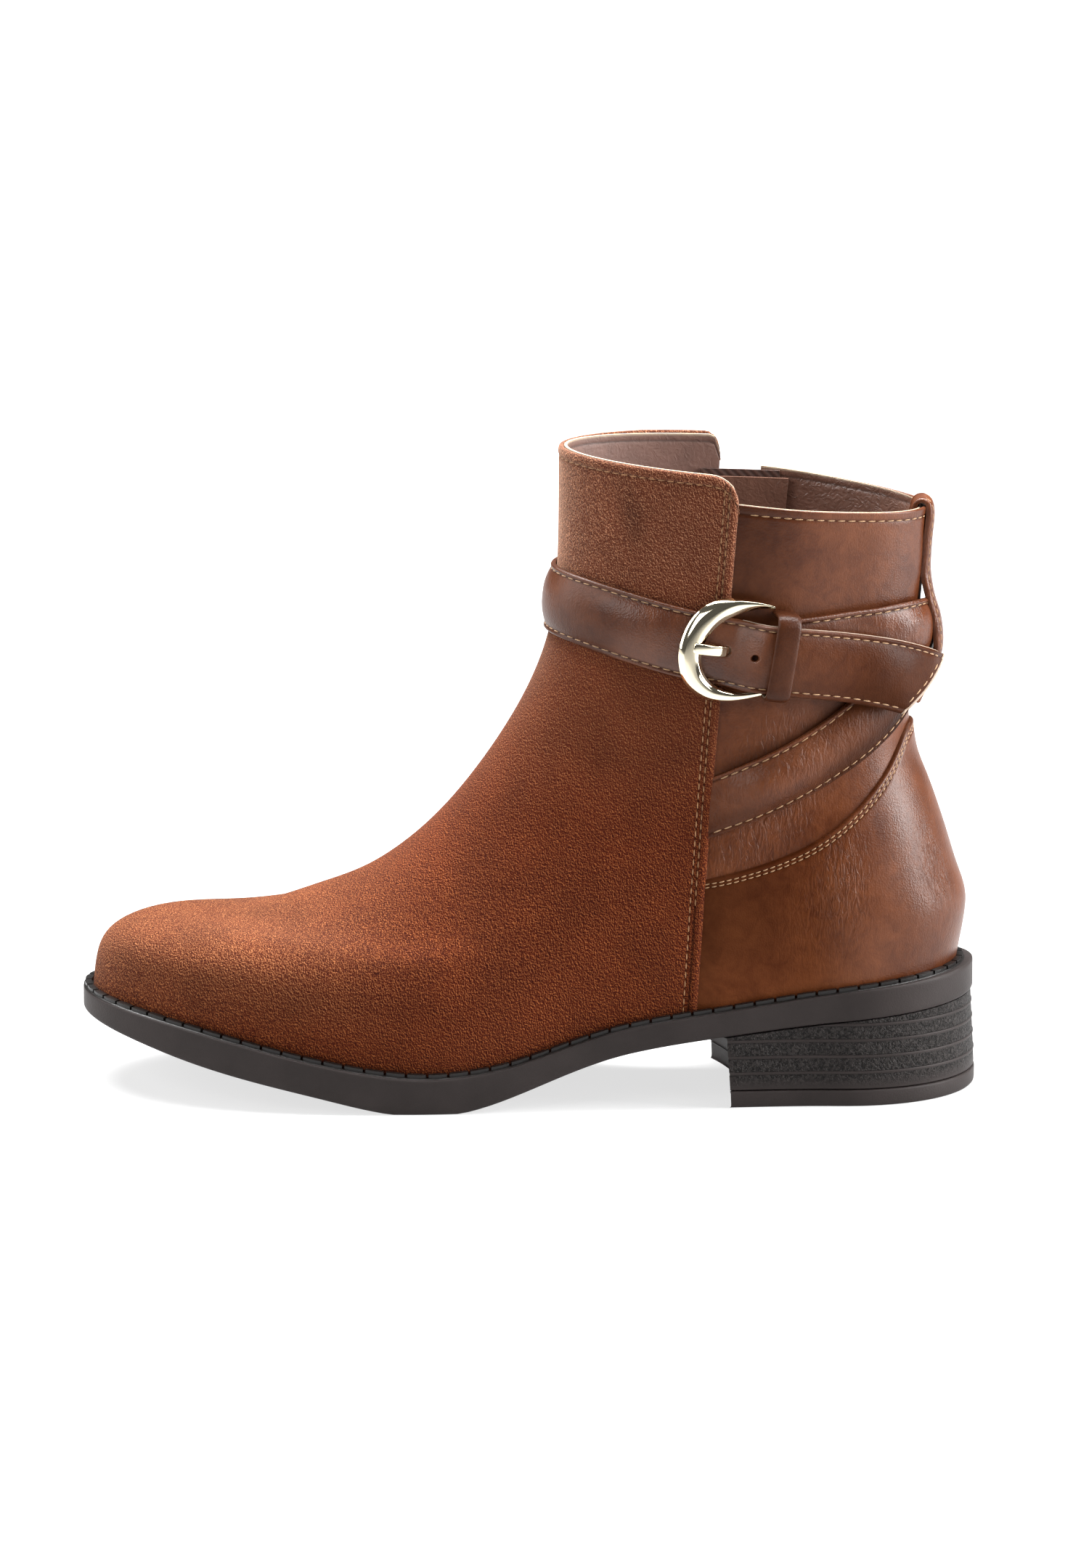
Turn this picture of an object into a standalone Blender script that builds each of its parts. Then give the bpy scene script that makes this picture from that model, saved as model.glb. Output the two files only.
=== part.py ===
"""Buckle ankle boot for the left foot, as separate closed solids.

Sizes and tables are in millimetres; MM turns them into metres where a shape is made.
+X runs from toe to heel, -Y is the outer side of the foot, +Z is up and the floor is Z = 0.
"""

import math
from collections import namedtuple

import bmesh
import bpy
import numpy as np
from mathutils import Matrix, Vector

MM = 0.001
GAP = 0.3

# Sole: plan, side view and its edge
SOLE_FRONT, SOLE_BACK = -132.3, 132.0
SOLE_LENGTH = SOLE_BACK - SOLE_FRONT
TOE_Y = 5.0
HEEL_Y = -1.0
SOLE_NOSE = (85.0, 70.0)
SOLE_TAIL = 40.0
SOLE_EDGE = 1.0
INSOLE_THICK = 2.5
WELT_IN, WELT_OUT, WELT_HIGH = 2.1, 4.5, 1.0

# Heel
BREAST_X = 56.2
BREAST_HOLLOW = 6.0
HEEL_FLARE = 0.052
HEEL_LEAN = 0.045
HEEL_TOP = 34.0
HEEL_INSET = 0.5
FLARE_FROM, LEAN_FROM = 26.0, 21.0
BREAST_SLANT = 2.4
BREAST_POINTS = 6
LIFT_HIGH = 5.0
RIB_HEIGHTS = (10.3, 15.1, 19.9, 24.6)
RIB_HALF = 0.45
RIB_PROUD = 0.45

# Upper
WALL = 1.5
VAMP_STEP = 1.0
COUNTER = (0.45, 1.45)
SLOT_WIDE = 12.5
SLOT_FORWARD = 5.0
SLOT_ROW = 6
ROWS = 20

# Straps and buckle
STRAP_HALF = 10.0
BAR_R = 0.9
FRAME_HALF_THICK = 1.2
BUCKLE_AT = 0.482

# Side view of the sole: height of its underside and of its top along the boot
Level = namedtuple("Level", "x bottom top")
SOLE_SIDE = (
    Level(-132.5, 21.0, 27.8),
    Level(-115.0, 16.9, 25.5),
    Level(-99.0, 12.8, 22.7),
    Level(-80.0, 8.5, 18.6),
    Level(-60.0, 4.2, 14.3),
    Level(-45.0, 0.8, 11.7),
    Level(-31.0, -0.8, 10.5),
    Level(-18.0, 0.4, 11.2),
    Level(-5.0, 4.2, 13.5),
    Level(10.0, 10.0, 18.2),
    Level(25.0, 15.2, 22.9),
    Level(40.0, 18.6, 26.2),
    Level(58.0, 21.2, 28.8),
    Level(95.0, 25.6, 34.4),
    Level(132.5, 28.6, 37.6),
)

# Half widths of the sole either side of the line from toe tip to heel
Plan = namedtuple("Plan", "lateral medial")
SOLE_PLAN = (Plan(48.7, 42.5), Plan(39.5, 19.5), Plan(35.0, 27.0))
STATIONS = (0.36, 0.62, 0.84)

# Sections of the last from the feather edge up to the collar: ends of each ring on the
# front and back lines, half widths at the stations, end roundings, share of the sole's dip
Section = namedtuple(
    "Section",
    "front_x front_z back_x back_z lat_fore lat_mid lat_rear med_fore med_mid med_rear "
    "nose_lat nose_med tail sag",
)
SECTIONS = (
    Section(-128.3, 28.6, 125.6, 37.6, 43.5, 34.5, 30.0, 37.7, 15.0, 22.5, 80, 64, 36, 1.00),
    Section(-126.9, 38.8, 127.9, 50.0, 45.0, 36.0, 31.2, 39.0, 18.0, 24.5, 78, 63, 37, 0.88),
    Section(-121.5, 46.0, 128.2, 58.0, 44.3, 36.5, 31.6, 38.3, 20.5, 25.8, 76, 62, 38, 0.74),
    Section(-106.0, 50.0, 125.8, 65.5, 41.5, 36.0, 31.4, 36.5, 23.0, 26.8, 76, 64, 38, 0.60),
    Section(-82.0, 50.2, 123.0, 74.5, 39.0, 35.2, 31.0, 35.0, 25.2, 27.3, 78, 68, 39, 0.46),
    Section(-58.6, 56.8, 119.9, 84.0, 37.2, 34.4, 30.4, 34.3, 27.0, 27.6, 78, 70, 40, 0.33),
    Section(-40.7, 67.0, 116.6, 93.0, 35.4, 33.4, 29.6, 33.6, 28.4, 27.8, 74, 68, 42, 0.20),
    Section(-22.9, 83.2, 113.6, 101.5, 33.4, 32.2, 28.8, 32.6, 29.4, 28.0, 68, 64, 44, 0.10),
    Section(-5.6, 107.0, 112.5, 114.0, 31.4, 31.0, 28.0, 31.0, 30.0, 27.8, 60, 58, 46, 0.03),
    Section(5.0, 129.0, 112.8, 131.0, 29.8, 30.0, 27.6, 29.8, 29.8, 27.6, 54, 54, 48, 0.00),
    Section(9.4, 153.0, 113.6, 151.5, 29.0, 29.6, 27.6, 29.0, 29.6, 27.6, 53, 53, 50, 0.00),
    Section(10.0, 192.0, 119.5, 186.0, 29.0, 30.0, 28.5, 29.0, 30.0, 28.5, 55, 55, 52, 0.00),
)
TOP_ROW = len(SECTIONS) - 1
SWING_ROWS = 9.0

# Back edge of the vamp in side view, and the collar line of vamp and quarter
VAMP_EDGE_Z = (29.0, 100.0, 180.0)
VAMP_EDGE_X = (49.8, 54.6, 62.3)
Collar = namedtuple("Collar", "front edge drop corner")
LATERAL_COLLAR = Collar(192.0, 187.8, 8.3, 9.0)
MEDIAL_COLLAR = Collar(192.0, 191.0, 7.0, 7.0)
QUARTER_FRONT, QUARTER_BACK = 179.8, 173.8

# Straps: way round the upper (0 front, 1 back, 2 front again), height and lift of each station
Stop = namedtuple("Stop", "around z lift")
FRONT_STRAP = (
    Stop(-0.42, 145.0, 1.4),
    Stop(-0.20, 146.6, 1.4),
    Stop(0.00, 146.7, 1.4),
    Stop(0.20, 145.2, 1.4),
    Stop(0.33, 141.6, 1.4),
    Stop(0.41, 138.8, 1.4),
    Stop(0.490, 136.4, 1.4),
    Stop(0.56, 134.8, 6.0),
    Stop(0.70, 131.3, 6.0),
    Stop(0.80, 128.0, 6.3),
    Stop(0.90, 124.0, 6.9),
)
LOW_STRAP = (
    Stop(0.535, 89.0, 0.4),
    Stop(0.63, 97.9, 0.4),
    Stop(0.73, 108.0, 0.4),
    Stop(0.89, 123.0, 0.5),
    Stop(1.00, 131.0, 0.6),
    Stop(1.15, 139.0, 0.5),
    Stop(1.30, 145.5, 0.4),
    Stop(1.41, 149.0, 0.4),
)
BUCKLE_STRAP = (
    Stop(0.60, 137.0, 2.0),
    Stop(0.70, 138.0, 2.0),
    Stop(0.80, 138.0, 3.0),
    Stop(0.89, 137.0, 3.5),
    Stop(1.00, 134.5, 3.6),
    Stop(1.10, 131.0, 3.5),
    Stop(1.22, 126.5, 3.2),
    Stop(1.32, 122.5, 1.0),
    Stop(1.41, 119.0, 0.4),
)

# Top edge of the counter on either side, from the vamp's edge to the back
COUNTER_WAY = (0.50, 0.61, 0.705, 0.79, 0.85, 0.91, 1.0)
COUNTER_TOP = (64.5, 70.3, 79.2, 91.5, 99.5, 107.0, 110.0)

MATERIALS = {
    "suede": ((0.26, 0.085, 0.035), 0.95, 0.0),
    "brown leather": ((0.16, 0.065, 0.038), 0.45, 0.0),
    "lining": ((0.27, 0.16, 0.14), 0.8, 0.0),
    "black rubber": ((0.035, 0.03, 0.03), 0.6, 0.0),
    "pale gold": ((0.80, 0.66, 0.43), 0.25, 1.0),
    "brown tape": ((0.10, 0.05, 0.03), 0.8, 0.0),
    "bronze": ((0.30, 0.20, 0.12), 0.4, 1.0),
}


def clear_scene():
    for item in list(bpy.data.objects):
        bpy.data.objects.remove(item)


def spline(knots, values):
    """Natural cubic spline through the knots, as a function of one value or an array."""
    x = np.asarray(knots, float)
    y = np.asarray(values, float)
    step = np.diff(x)
    system = np.eye(len(x))
    right = np.zeros(len(x))
    for i in range(1, len(x) - 1):
        system[i, i - 1:i + 2] = step[i - 1], 2 * (step[i - 1] + step[i]), step[i]
        right[i] = 6 * ((y[i + 1] - y[i]) / step[i] - (y[i] - y[i - 1]) / step[i - 1])
    bend = np.linalg.solve(system, right)

    def at(p):
        p = np.clip(p, x[0], x[-1])
        i = np.clip(np.searchsorted(x, p, side="right") - 1, 0, len(x) - 2)
        a = (x[i + 1] - p) / step[i]
        b = 1.0 - a
        curl = ((a ** 3 - a) * bend[i] + (b ** 3 - b) * bend[i + 1]) * step[i] ** 2 / 6
        return a * y[i] + b * y[i + 1] + curl

    return at


SOLE_X = [level.x for level in SOLE_SIDE]
under_curve = spline(SOLE_X, [level.bottom for level in SOLE_SIDE])
sole_top = spline(SOLE_X, [level.top for level in SOLE_SIDE])
SECTION_CURVES = [spline(range(len(SECTIONS)), column) for column in zip(*SECTIONS)]
vamp_edge_x = spline(VAMP_EDGE_Z, VAMP_EDGE_X)


def sole_under(x):
    return np.maximum(under_curve(x), 0.0)


def eased(knots, values):
    """Steps from value to value with level ends, so that it never overshoots."""
    x = np.asarray(knots, float)
    y = np.asarray(values, float)

    def at(p):
        p = np.clip(p, x[0], x[-1])
        i = np.clip(np.searchsorted(x, p, side="right") - 1, 0, len(x) - 2)
        return y[i] + (y[i + 1] - y[i]) * smooth((p - x[i]) / (x[i + 1] - x[i]))

    return at


def smooth(value):
    value = np.clip(value, 0.0, 1.0)
    return value * value * (3 - 2 * value)


def along_stations(u, fore, mid, rear):
    first = smooth((u - STATIONS[0]) / (STATIONS[1] - STATIONS[0]))
    second = smooth((u - STATIONS[1]) / (STATIONS[2] - STATIONS[1]))
    return fore + (mid - fore) * first + (rear - mid) * second


def rounded(run, length):
    left = 1.0 - np.clip(run / length, 0.0, 1.0)
    return np.sqrt(np.maximum(1.0 - left ** 2.1, 0.0))


def split_around(around):
    """Share of the way from front to back, and whether it is on the medial side."""
    turn = np.mod(around, 2.0)
    medial = turn > 1.0
    way = np.where(medial, 2.0 - turn, turn)
    return 0.5 - 0.5 * np.cos(np.pi * way), medial


def last(row, around):
    """Point of the last's surface; row counts sections up from the feather edge."""
    row, around = np.broadcast_arrays(np.asarray(row, float), np.asarray(around, float))
    u, medial = split_around(around)
    s = Section(*(curve(row) for curve in SECTION_CURVES))
    first = SECTIONS[0]
    length = s.back_x - s.front_x
    fore = np.where(medial, s.med_fore, s.lat_fore)
    mid = np.where(medial, s.med_mid, s.lat_mid)
    rear = np.where(medial, s.med_rear, s.lat_rear)
    nose = np.where(medial, s.nose_med, s.nose_lat)
    half = along_stations(u, fore, mid, rear)
    half = half * rounded(u * length, nose) * rounded((1 - u) * length, s.tail)
    swing = np.clip(1.0 - row / SWING_ROWS, 0.0, 1.0)
    axis = swing * (TOE_Y * (1 - u) + HEEL_Y * u)
    foot = sole_top(first.front_x + (first.back_x - first.front_x) * u) + GAP
    dip = foot - (first.front_z + (first.back_z - first.front_z) * u)
    x = s.front_x + length * u
    z = s.front_z + (s.back_z - s.front_z) * u + s.sag * dip
    return np.stack([x, axis + np.where(medial, half, -half), z], -1)


def outward(row, around, level=False):
    low = np.maximum(np.asarray(row, float) - 0.02, 0.0)
    along = last(row, around + 0.002) - last(row, around - 0.002)
    up = last(low + 0.04, around) - last(low, around)
    normal = np.cross(along, up)
    if level is not False:
        normal[..., 2] = np.where(level, 0.0, normal[..., 2])
    return normal / np.linalg.norm(normal, axis=-1, keepdims=True)


def skin(row, around, lift, level=False):
    """Point off the last's surface by the lift; level keeps the lift horizontal."""
    row, around, lift = np.broadcast_arrays(row, around, lift)
    return last(row, around) + outward(row, around, level) * lift[..., None]


def row_at(around, z):
    """Section row at which the surface reaches the height z."""
    around, z = np.broadcast_arrays(np.asarray(around, float), np.asarray(z, float))
    low = np.zeros(around.shape)
    high = np.full(around.shape, float(TOP_ROW))
    for _ in range(26):
        middle = (low + high) / 2
        below = last(middle, around)[..., 2] < z
        low = np.where(below, middle, low)
        high = np.where(below, high, middle)
    return (low + high) / 2


def way_at(row, x):
    """Way from front to back at which a row reaches the length x."""
    front = SECTION_CURVES[0](row)
    back = SECTION_CURVES[2](row)
    u = np.clip((x - front) / (back - front), 0.0, 1.0)
    return np.arccos(1.0 - 2.0 * u) / np.pi


def edge_curve(shift, medial):
    """Way round of a line parallel to the vamp's back edge, for every row."""
    values = []
    for row in range(len(SECTIONS)):
        x = VAMP_EDGE_X[1]
        for _ in range(6):
            way = way_at(row, x + shift)
            around = 2.0 - way if medial else way
            x = float(vamp_edge_x(last(row, around)[2]))
        values.append(around)
    return spline(range(len(SECTIONS)), values)


LATERAL_EDGE = edge_curve(0.0, False)
LATERAL_STEP = edge_curve(0.5, False)
SLOT_FRONT = edge_curve(-SLOT_FORWARD, True)
SLOT_STEP = edge_curve(0.5 - SLOT_FORWARD, True)
SLOT_BACK = edge_curve(SLOT_WIDE - SLOT_FORWARD, True)


def collar_height(x, edge_x, collar):
    """Height of the collar line; a vamp's corner rounds down at its edge."""
    if collar is None:
        share = (x - edge_x) / (SECTIONS[-1].back_x - edge_x)
        return QUARTER_FRONT + (QUARTER_BACK - QUARTER_FRONT) * min(max(share, 0.0), 1.0)
    share = min(max((x - SECTIONS[-1].front_x) / (edge_x - SECTIONS[-1].front_x), 0.0), 1.0)
    height = collar.front + (collar.edge - collar.front) * share
    short = min(max(collar.corner - (edge_x - x), 0.0) / collar.corner, 1.0)
    return height - collar.drop * (1.0 - math.sqrt(1.0 - short ** 2))


def top_of(column, edge, collar):
    """Row at which a column of the upper meets the collar line."""
    low, high = 6.0, float(TOP_ROW)
    for _ in range(30):
        row = (low + high) / 2
        point = last(row, column(row))
        if point[2] < collar_height(point[0], last(row, edge(row))[0], collar):
            low = row
        else:
            high = row
    return (low + high) / 2


def node(name, points, faces, material):
    """Mesh object from points in millimetres, with its faces turned outwards."""
    mesh = bpy.data.meshes.new(name)
    mesh.from_pydata([tuple(float(v) * MM for v in point) for point in points], [], faces)
    work = bmesh.new()
    work.from_mesh(mesh)
    bmesh.ops.recalc_face_normals(work, faces=work.faces)
    work.to_mesh(mesh)
    work.free()
    return place(bpy.data.objects.new(name, mesh), material)


def place(item, material, group="parts"):
    """Link an object to its collection and give it its material."""
    GROUPS[group].objects.link(item)
    if material:
        item.data.materials.append(MADE_MATERIALS[material])
    return item


def shell(name, outer, inner, material, wrap=False, skip=()):
    """Closed wall between two grids of points; skipped cells become openings."""
    rows, columns = outer.shape[:2]
    last_column = columns if wrap else columns - 1
    cells = [(j, i) for j in range(rows - 1) for i in range(last_column) if (j, i) not in skip]
    numbers = {}
    points = []
    edges = {}
    faces = []

    def number(side, j, i):
        key = (side, j, i % columns)
        if key not in numbers:
            numbers[key] = len(points)
            points.append((outer, inner)[side][j, i % columns])
        return numbers[key]

    for j, i in cells:
        corners = [(j, i), (j, i + 1), (j + 1, i + 1), (j + 1, i)]
        faces.append([number(0, *corner) for corner in corners])
        faces.append([number(1, *corner) for corner in reversed(corners)])
        for k in range(4):
            a = (corners[k][0], corners[k][1] % columns)
            b = (corners[(k + 1) % 4][0], corners[(k + 1) % 4][1] % columns)
            edges[(a, b)] = (corners[k], corners[(k + 1) % 4])
    for (a, b), (start, end) in edges.items():
        if (b, a) not in edges:
            faces.append([number(0, *end), number(0, *start), number(1, *start), number(1, *end)])
    return node(name, points, faces, material)


def pad(name, loops, material, strips):
    """Solid through closed loops of equal count; its caps are strips or one face."""
    count = len(loops[0])
    points = [point for loop in loops for point in loop]
    faces = []
    for level in range(len(loops) - 1):
        for i in range(count):
            k = (i + 1) % count
            base = level * count
            faces.append([base + i, base + k, base + count + k, base + count + i])
    for start in (0, (len(loops) - 1) * count):
        if strips:
            half = count // 2
            for i in range(half):
                ring = [i, i + 1, (count - i - 1) % count, (count - i) % count]
                face = [start + number for number in dict.fromkeys(ring)]
                faces.append(face)
        else:
            faces.append([start + i for i in range(count)])
    return node(name, points, faces, material)


def plate(name, loops, half, material, parent=None, at=(0, 0, 0), turn=(0, 0, 0), bevel=0.0, group="parts"):
    """Flat piece from outlines in its own plane, as a filled two-dimensional curve."""
    curve = bpy.data.curves.new(name, "CURVE")
    curve.dimensions = "2D"
    curve.fill_mode = "BOTH"
    curve.extrude = (half - bevel) * MM
    curve.bevel_depth = bevel * MM
    curve.offset = -bevel * MM
    curve.bevel_resolution = 1
    for loop in loops:
        line = curve.splines.new("POLY")
        line.points.add(len(loop) - 1)
        for point, (x, y) in zip(line.points, loop):
            point.co = (x * MM, y * MM, 0, 1)
        line.use_cyclic_u = True
    item = place(bpy.data.objects.new(name, curve), material, group)
    item.parent = parent
    item.location = Vector(at) * MM
    item.rotation_euler = [math.radians(angle) for angle in turn]
    return item


def arc(cx, cy, rx, ry, start, end, count):
    """Points of an elliptic arc, angles in degrees."""
    angles = [math.radians(start + (end - start) * i / count) for i in range(count + 1)]
    return [(cx + rx * math.cos(a), cy + ry * math.sin(a)) for a in angles]


def round_box(x0, y0, x1, y1, r, count=4):
    """Rectangle outline with rounded corners."""
    points = arc(x1 - r, y1 - r, r, r, 0, 90, count)
    points += arc(x0 + r, y1 - r, r, r, 90, 180, count)
    points += arc(x0 + r, y0 + r, r, r, 180, 270, count)
    return points + arc(x1 - r, y0 + r, r, r, 270, 360, count)


def as_mesh(item):
    """Turn a curve object into a mesh object of the same name and place."""
    graph = bpy.context.evaluated_depsgraph_get()
    mesh = bpy.data.meshes.new_from_object(item.evaluated_get(graph))
    name = item.name
    parent, matrix = item.parent, item.matrix_local.copy()
    group = item.users_collection[0]
    old = item.data
    bpy.data.objects.remove(item)
    bpy.data.curves.remove(old)
    work = bmesh.new()
    work.from_mesh(mesh)
    bmesh.ops.remove_doubles(work, verts=work.verts, dist=0.00001)
    work.to_mesh(mesh)
    work.free()
    made = bpy.data.objects.new(name, mesh)
    group.objects.link(made)
    made.parent = parent
    made.matrix_local = matrix
    return made


def cut(item, tool, operation):
    """Boolean of one object by another, kept as a modifier."""
    change = item.modifiers.new(tool.name, "BOOLEAN")
    change.operation = operation
    change.solver = "EXACT"
    change.object = tool
    tool.hide_render = True
    tool.display_type = "WIRE"


def box(name, low, high, parent=None):
    """Box that serves as a tool for a Boolean."""
    points = [(x, y, z) for x in (low[0], high[0]) for y in (low[1], high[1]) for z in (low[2], high[2])]
    faces = [(0, 1, 3, 2), (4, 6, 7, 5), (0, 4, 5, 1), (2, 3, 7, 6), (0, 2, 6, 4), (1, 5, 7, 3)]
    item = node(name, points, faces, None)
    GROUPS["parts"].objects.unlink(item)
    GROUPS["tools"].objects.link(item)
    item.parent = parent
    return item


def plan_point(u, medial, inset):
    """Point of the sole's outline, drawn in by the inset."""
    length = SOLE_LENGTH - 2 * inset
    values = [(row.medial if medial else row.lateral) - inset for row in SOLE_PLAN]
    nose = SOLE_NOSE[1 if medial else 0] - inset
    half = along_stations(u, *values) * rounded(u * length, nose)
    half = half * rounded((1 - u) * length, SOLE_TAIL - inset)
    axis = TOE_Y * (1 - u) + HEEL_Y * u
    return float(SOLE_FRONT + inset + length * u), float(axis + (half if medial else -half))


def sole_loop(inset, height, count=34):
    """Closed outline of the sole at a height given along its length."""
    shares = [0.5 - 0.5 * math.cos(math.pi * i / count) for i in range(count + 1)]
    plan = [plan_point(u, False, inset) for u in shares]
    plan += [plan_point(u, True, inset) for u in shares[-2:0:-1]]
    return [(x, y, float(height(x))) for x, y in plan]


def heel_loop(inset, z, count=10):
    """Outline of the heel at one height, with its hollow breast."""
    lean = (LEAN_FROM - z) * HEEL_LEAN
    flare = (FLARE_FROM - z) * HEEL_FLARE
    loop = []
    for medial in (False, True):
        x0 = BREAST_X + lean + (-BREAST_SLANT if medial else BREAST_SLANT)
        u0 = (x0 - SOLE_FRONT) / SOLE_LENGTH
        begin = math.acos(1 - 2 * u0)
        turns = [begin + (math.pi - begin) * i / count for i in range(count + 1)]
        side = [plan_point(0.5 - 0.5 * math.cos(a), medial, inset - flare) for a in turns]
        loop += side if not medial else side[-2::-1]
    start, end = loop[-1], loop[0]
    for i in range(1, BREAST_POINTS):
        share = i / BREAST_POINTS
        hollow = BREAST_HOLLOW * (1 - (2 * share - 1) ** 2)
        across = start[1] + (end[1] - start[1]) * share
        loop.append((start[0] + (end[0] - start[0]) * share + hollow, across))
    return [(x, y, z) for x, y in loop]


def make_sole():
    """Outsole, welt, ribbed heel, top lift and insole."""
    loops = [sole_loop(SOLE_EDGE, sole_under)]
    loops.append(sole_loop(0.0, lambda x: sole_under(x) + SOLE_EDGE))
    loops.append(sole_loop(0.0, lambda x: sole_top(x) - 0.5))
    loops.append(sole_loop(0.5, sole_top))
    pad("outsole", loops, "black rubber", True)

    heel_levels = [(0.0, LIFT_HIGH + GAP)]
    for height in RIB_HEIGHTS:
        for step, proud in ((-2, 0.0), (-1, RIB_PROUD), (1, RIB_PROUD), (2, 0.0)):
            heel_levels.append((-proud, height + step * RIB_HALF / (1 if abs(step) == 1 else 1.1)))
    heel_levels.append((0.0, HEEL_TOP))
    loops = [heel_loop(HEEL_INSET + inset, z) for inset, z in heel_levels]
    heel = pad("heel_stack", loops, "black rubber", False)
    x0, x1 = BREAST_X - 20, SOLE_BACK + 12
    seat = [(x, float(sole_under(x)) - GAP) for x in np.linspace(x0, x1, 14)]
    outline = seat + [(x1, 60.0), (x0, 60.0)]
    tool = plate("heel_seat_cut", [outline], 60.0, None, None, (0, 0, 0), (90, 0, 0), 0.0, "tools")
    cut(heel, as_mesh(tool), "DIFFERENCE")
    lift = [heel_loop(inset, z) for inset, z in ((1.6, 0.0), (0.6, 1.2), (0.4, LIFT_HIGH))]
    pad("top_lift", lift, "black rubber", False)

    ways = np.linspace(0.0, 2.0, 73)[:-1]
    base = [skin(0.0, ways, offset, True) for offset in (WELT_IN, WELT_OUT)]
    grids = []
    for high in (GAP, GAP + WELT_HIGH):
        rings = [np.stack([r[:, 0], r[:, 1], sole_top(r[:, 0]) + high], -1) for r in base]
        grids.append(np.stack(rings))
    shell("welt", grids[1], grids[0], "black rubber", True)

    ways = np.linspace(0.0, 2.0, 57)[:-1]
    ring = skin(0.0, ways, -(WALL + 0.8), True)
    loops = []
    for high in (GAP, GAP + INSOLE_THICK):
        loops.append([(p[0], p[1], float(sole_top(p[0])) + high) for p in ring])
    pad("insole", loops, "lining", True)


def on_sole(grid):
    """Grid whose lowest row is set just clear of the sole's top."""
    grid[0, :, 2] = sole_top(grid[0, :, 0]) + GAP
    return grid


def make_upper():
    """Hollow upper, and the counter that lies round its heel."""
    start = spline((0, TOP_ROW), (0.0, 0.0))
    back = spline((0, TOP_ROW), (1.0, 1.0))
    end = spline((0, TOP_ROW), (2.0, 2.0))
    parts = (
        (start, LATERAL_EDGE, 14, VAMP_STEP, LATERAL_EDGE, LATERAL_COLLAR),
        (LATERAL_STEP, back, 11, 0.0, LATERAL_EDGE, None),
        (back, SLOT_BACK, 10, 0.0, SLOT_BACK, None),
        (SLOT_BACK, SLOT_STEP, 2, 0.0, SLOT_BACK, None),
        (SLOT_FRONT, end, 14, VAMP_STEP, SLOT_FRONT, MEDIAL_COLLAR),
    )
    columns = []
    for first, second, count, lift, edge, collar in parts:
        closing = second is LATERAL_EDGE or second is SLOT_STEP
        for i in range(count + (1 if closing else 0)):
            share = i / count

            def column(row, first=first, second=second, share=share):
                return first(row) + (second(row) - first(row)) * share

            columns.append((column, lift, edge, collar))
    grid_row = np.zeros((ROWS + 1, len(columns)))
    grid_way = np.zeros(grid_row.shape)
    lifts = np.array([lift for _, lift, _, _ in columns])
    for i, (column, lift, edge, collar) in enumerate(columns):
        rows = top_of(column, edge, collar) * np.linspace(0, 1, ROWS + 1) ** 0.95
        grid_row[:, i] = rows
        grid_way[:, i] = column(rows)
    level = np.zeros(grid_row.shape, bool)
    level[0] = True
    level[-1] = True
    outer = on_sole(skin(grid_row, grid_way, lifts[None, :], level))
    inner = on_sole(skin(grid_row, grid_way, -WALL, level))
    slot = sum(part[2] for part in parts[:3]) + 1
    skip = {(j, slot + k) for j in range(SLOT_ROW, ROWS) for k in range(3)}
    shell("upper", outer, inner, "suede", True, skip)

    lateral = np.linspace(0.0, 1.0, 12)
    ways = []
    counter_top = spline(COUNTER_WAY, COUNTER_TOP)
    rows = np.linspace(0.0, 1.0, 9)[:, None]
    for share in lateral:
        ways.append(lambda row, s=share: LATERAL_STEP(row) * (1 - s) + s + 0.006 * (1 - s))
    for share in lateral[-2::-1]:
        ways.append(lambda row, s=share: (SLOT_STEP(row) - 0.008) * (1 - s) + s)
    grid_row = np.zeros((len(rows), len(ways)))
    grid_way = np.zeros(grid_row.shape)
    for i, way in enumerate(ways):
        high = 6.0
        for _ in range(12):
            u, medial = split_around(way(high))
            place_way = math.acos(1 - 2 * float(u)) / math.pi
            top = float(counter_top(place_way))
            if medial and place_way < 0.7:
                top = min(top, 60.0 + 40.0 * max(place_way - 0.56, 0.0) / 0.14 * 0.45)
            high = float(row_at(way(high), top))
        grid_row[:, i] = high * rows[:, 0]
        grid_way[:, i] = way(grid_row[:, i])
    level = np.zeros(grid_row.shape, bool)
    level[0] = True
    outer = on_sole(skin(grid_row, grid_way, COUNTER[1], level))
    inner = on_sole(skin(grid_row, grid_way, COUNTER[0], level))
    shell("counter", outer, inner, "brown leather")


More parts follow.
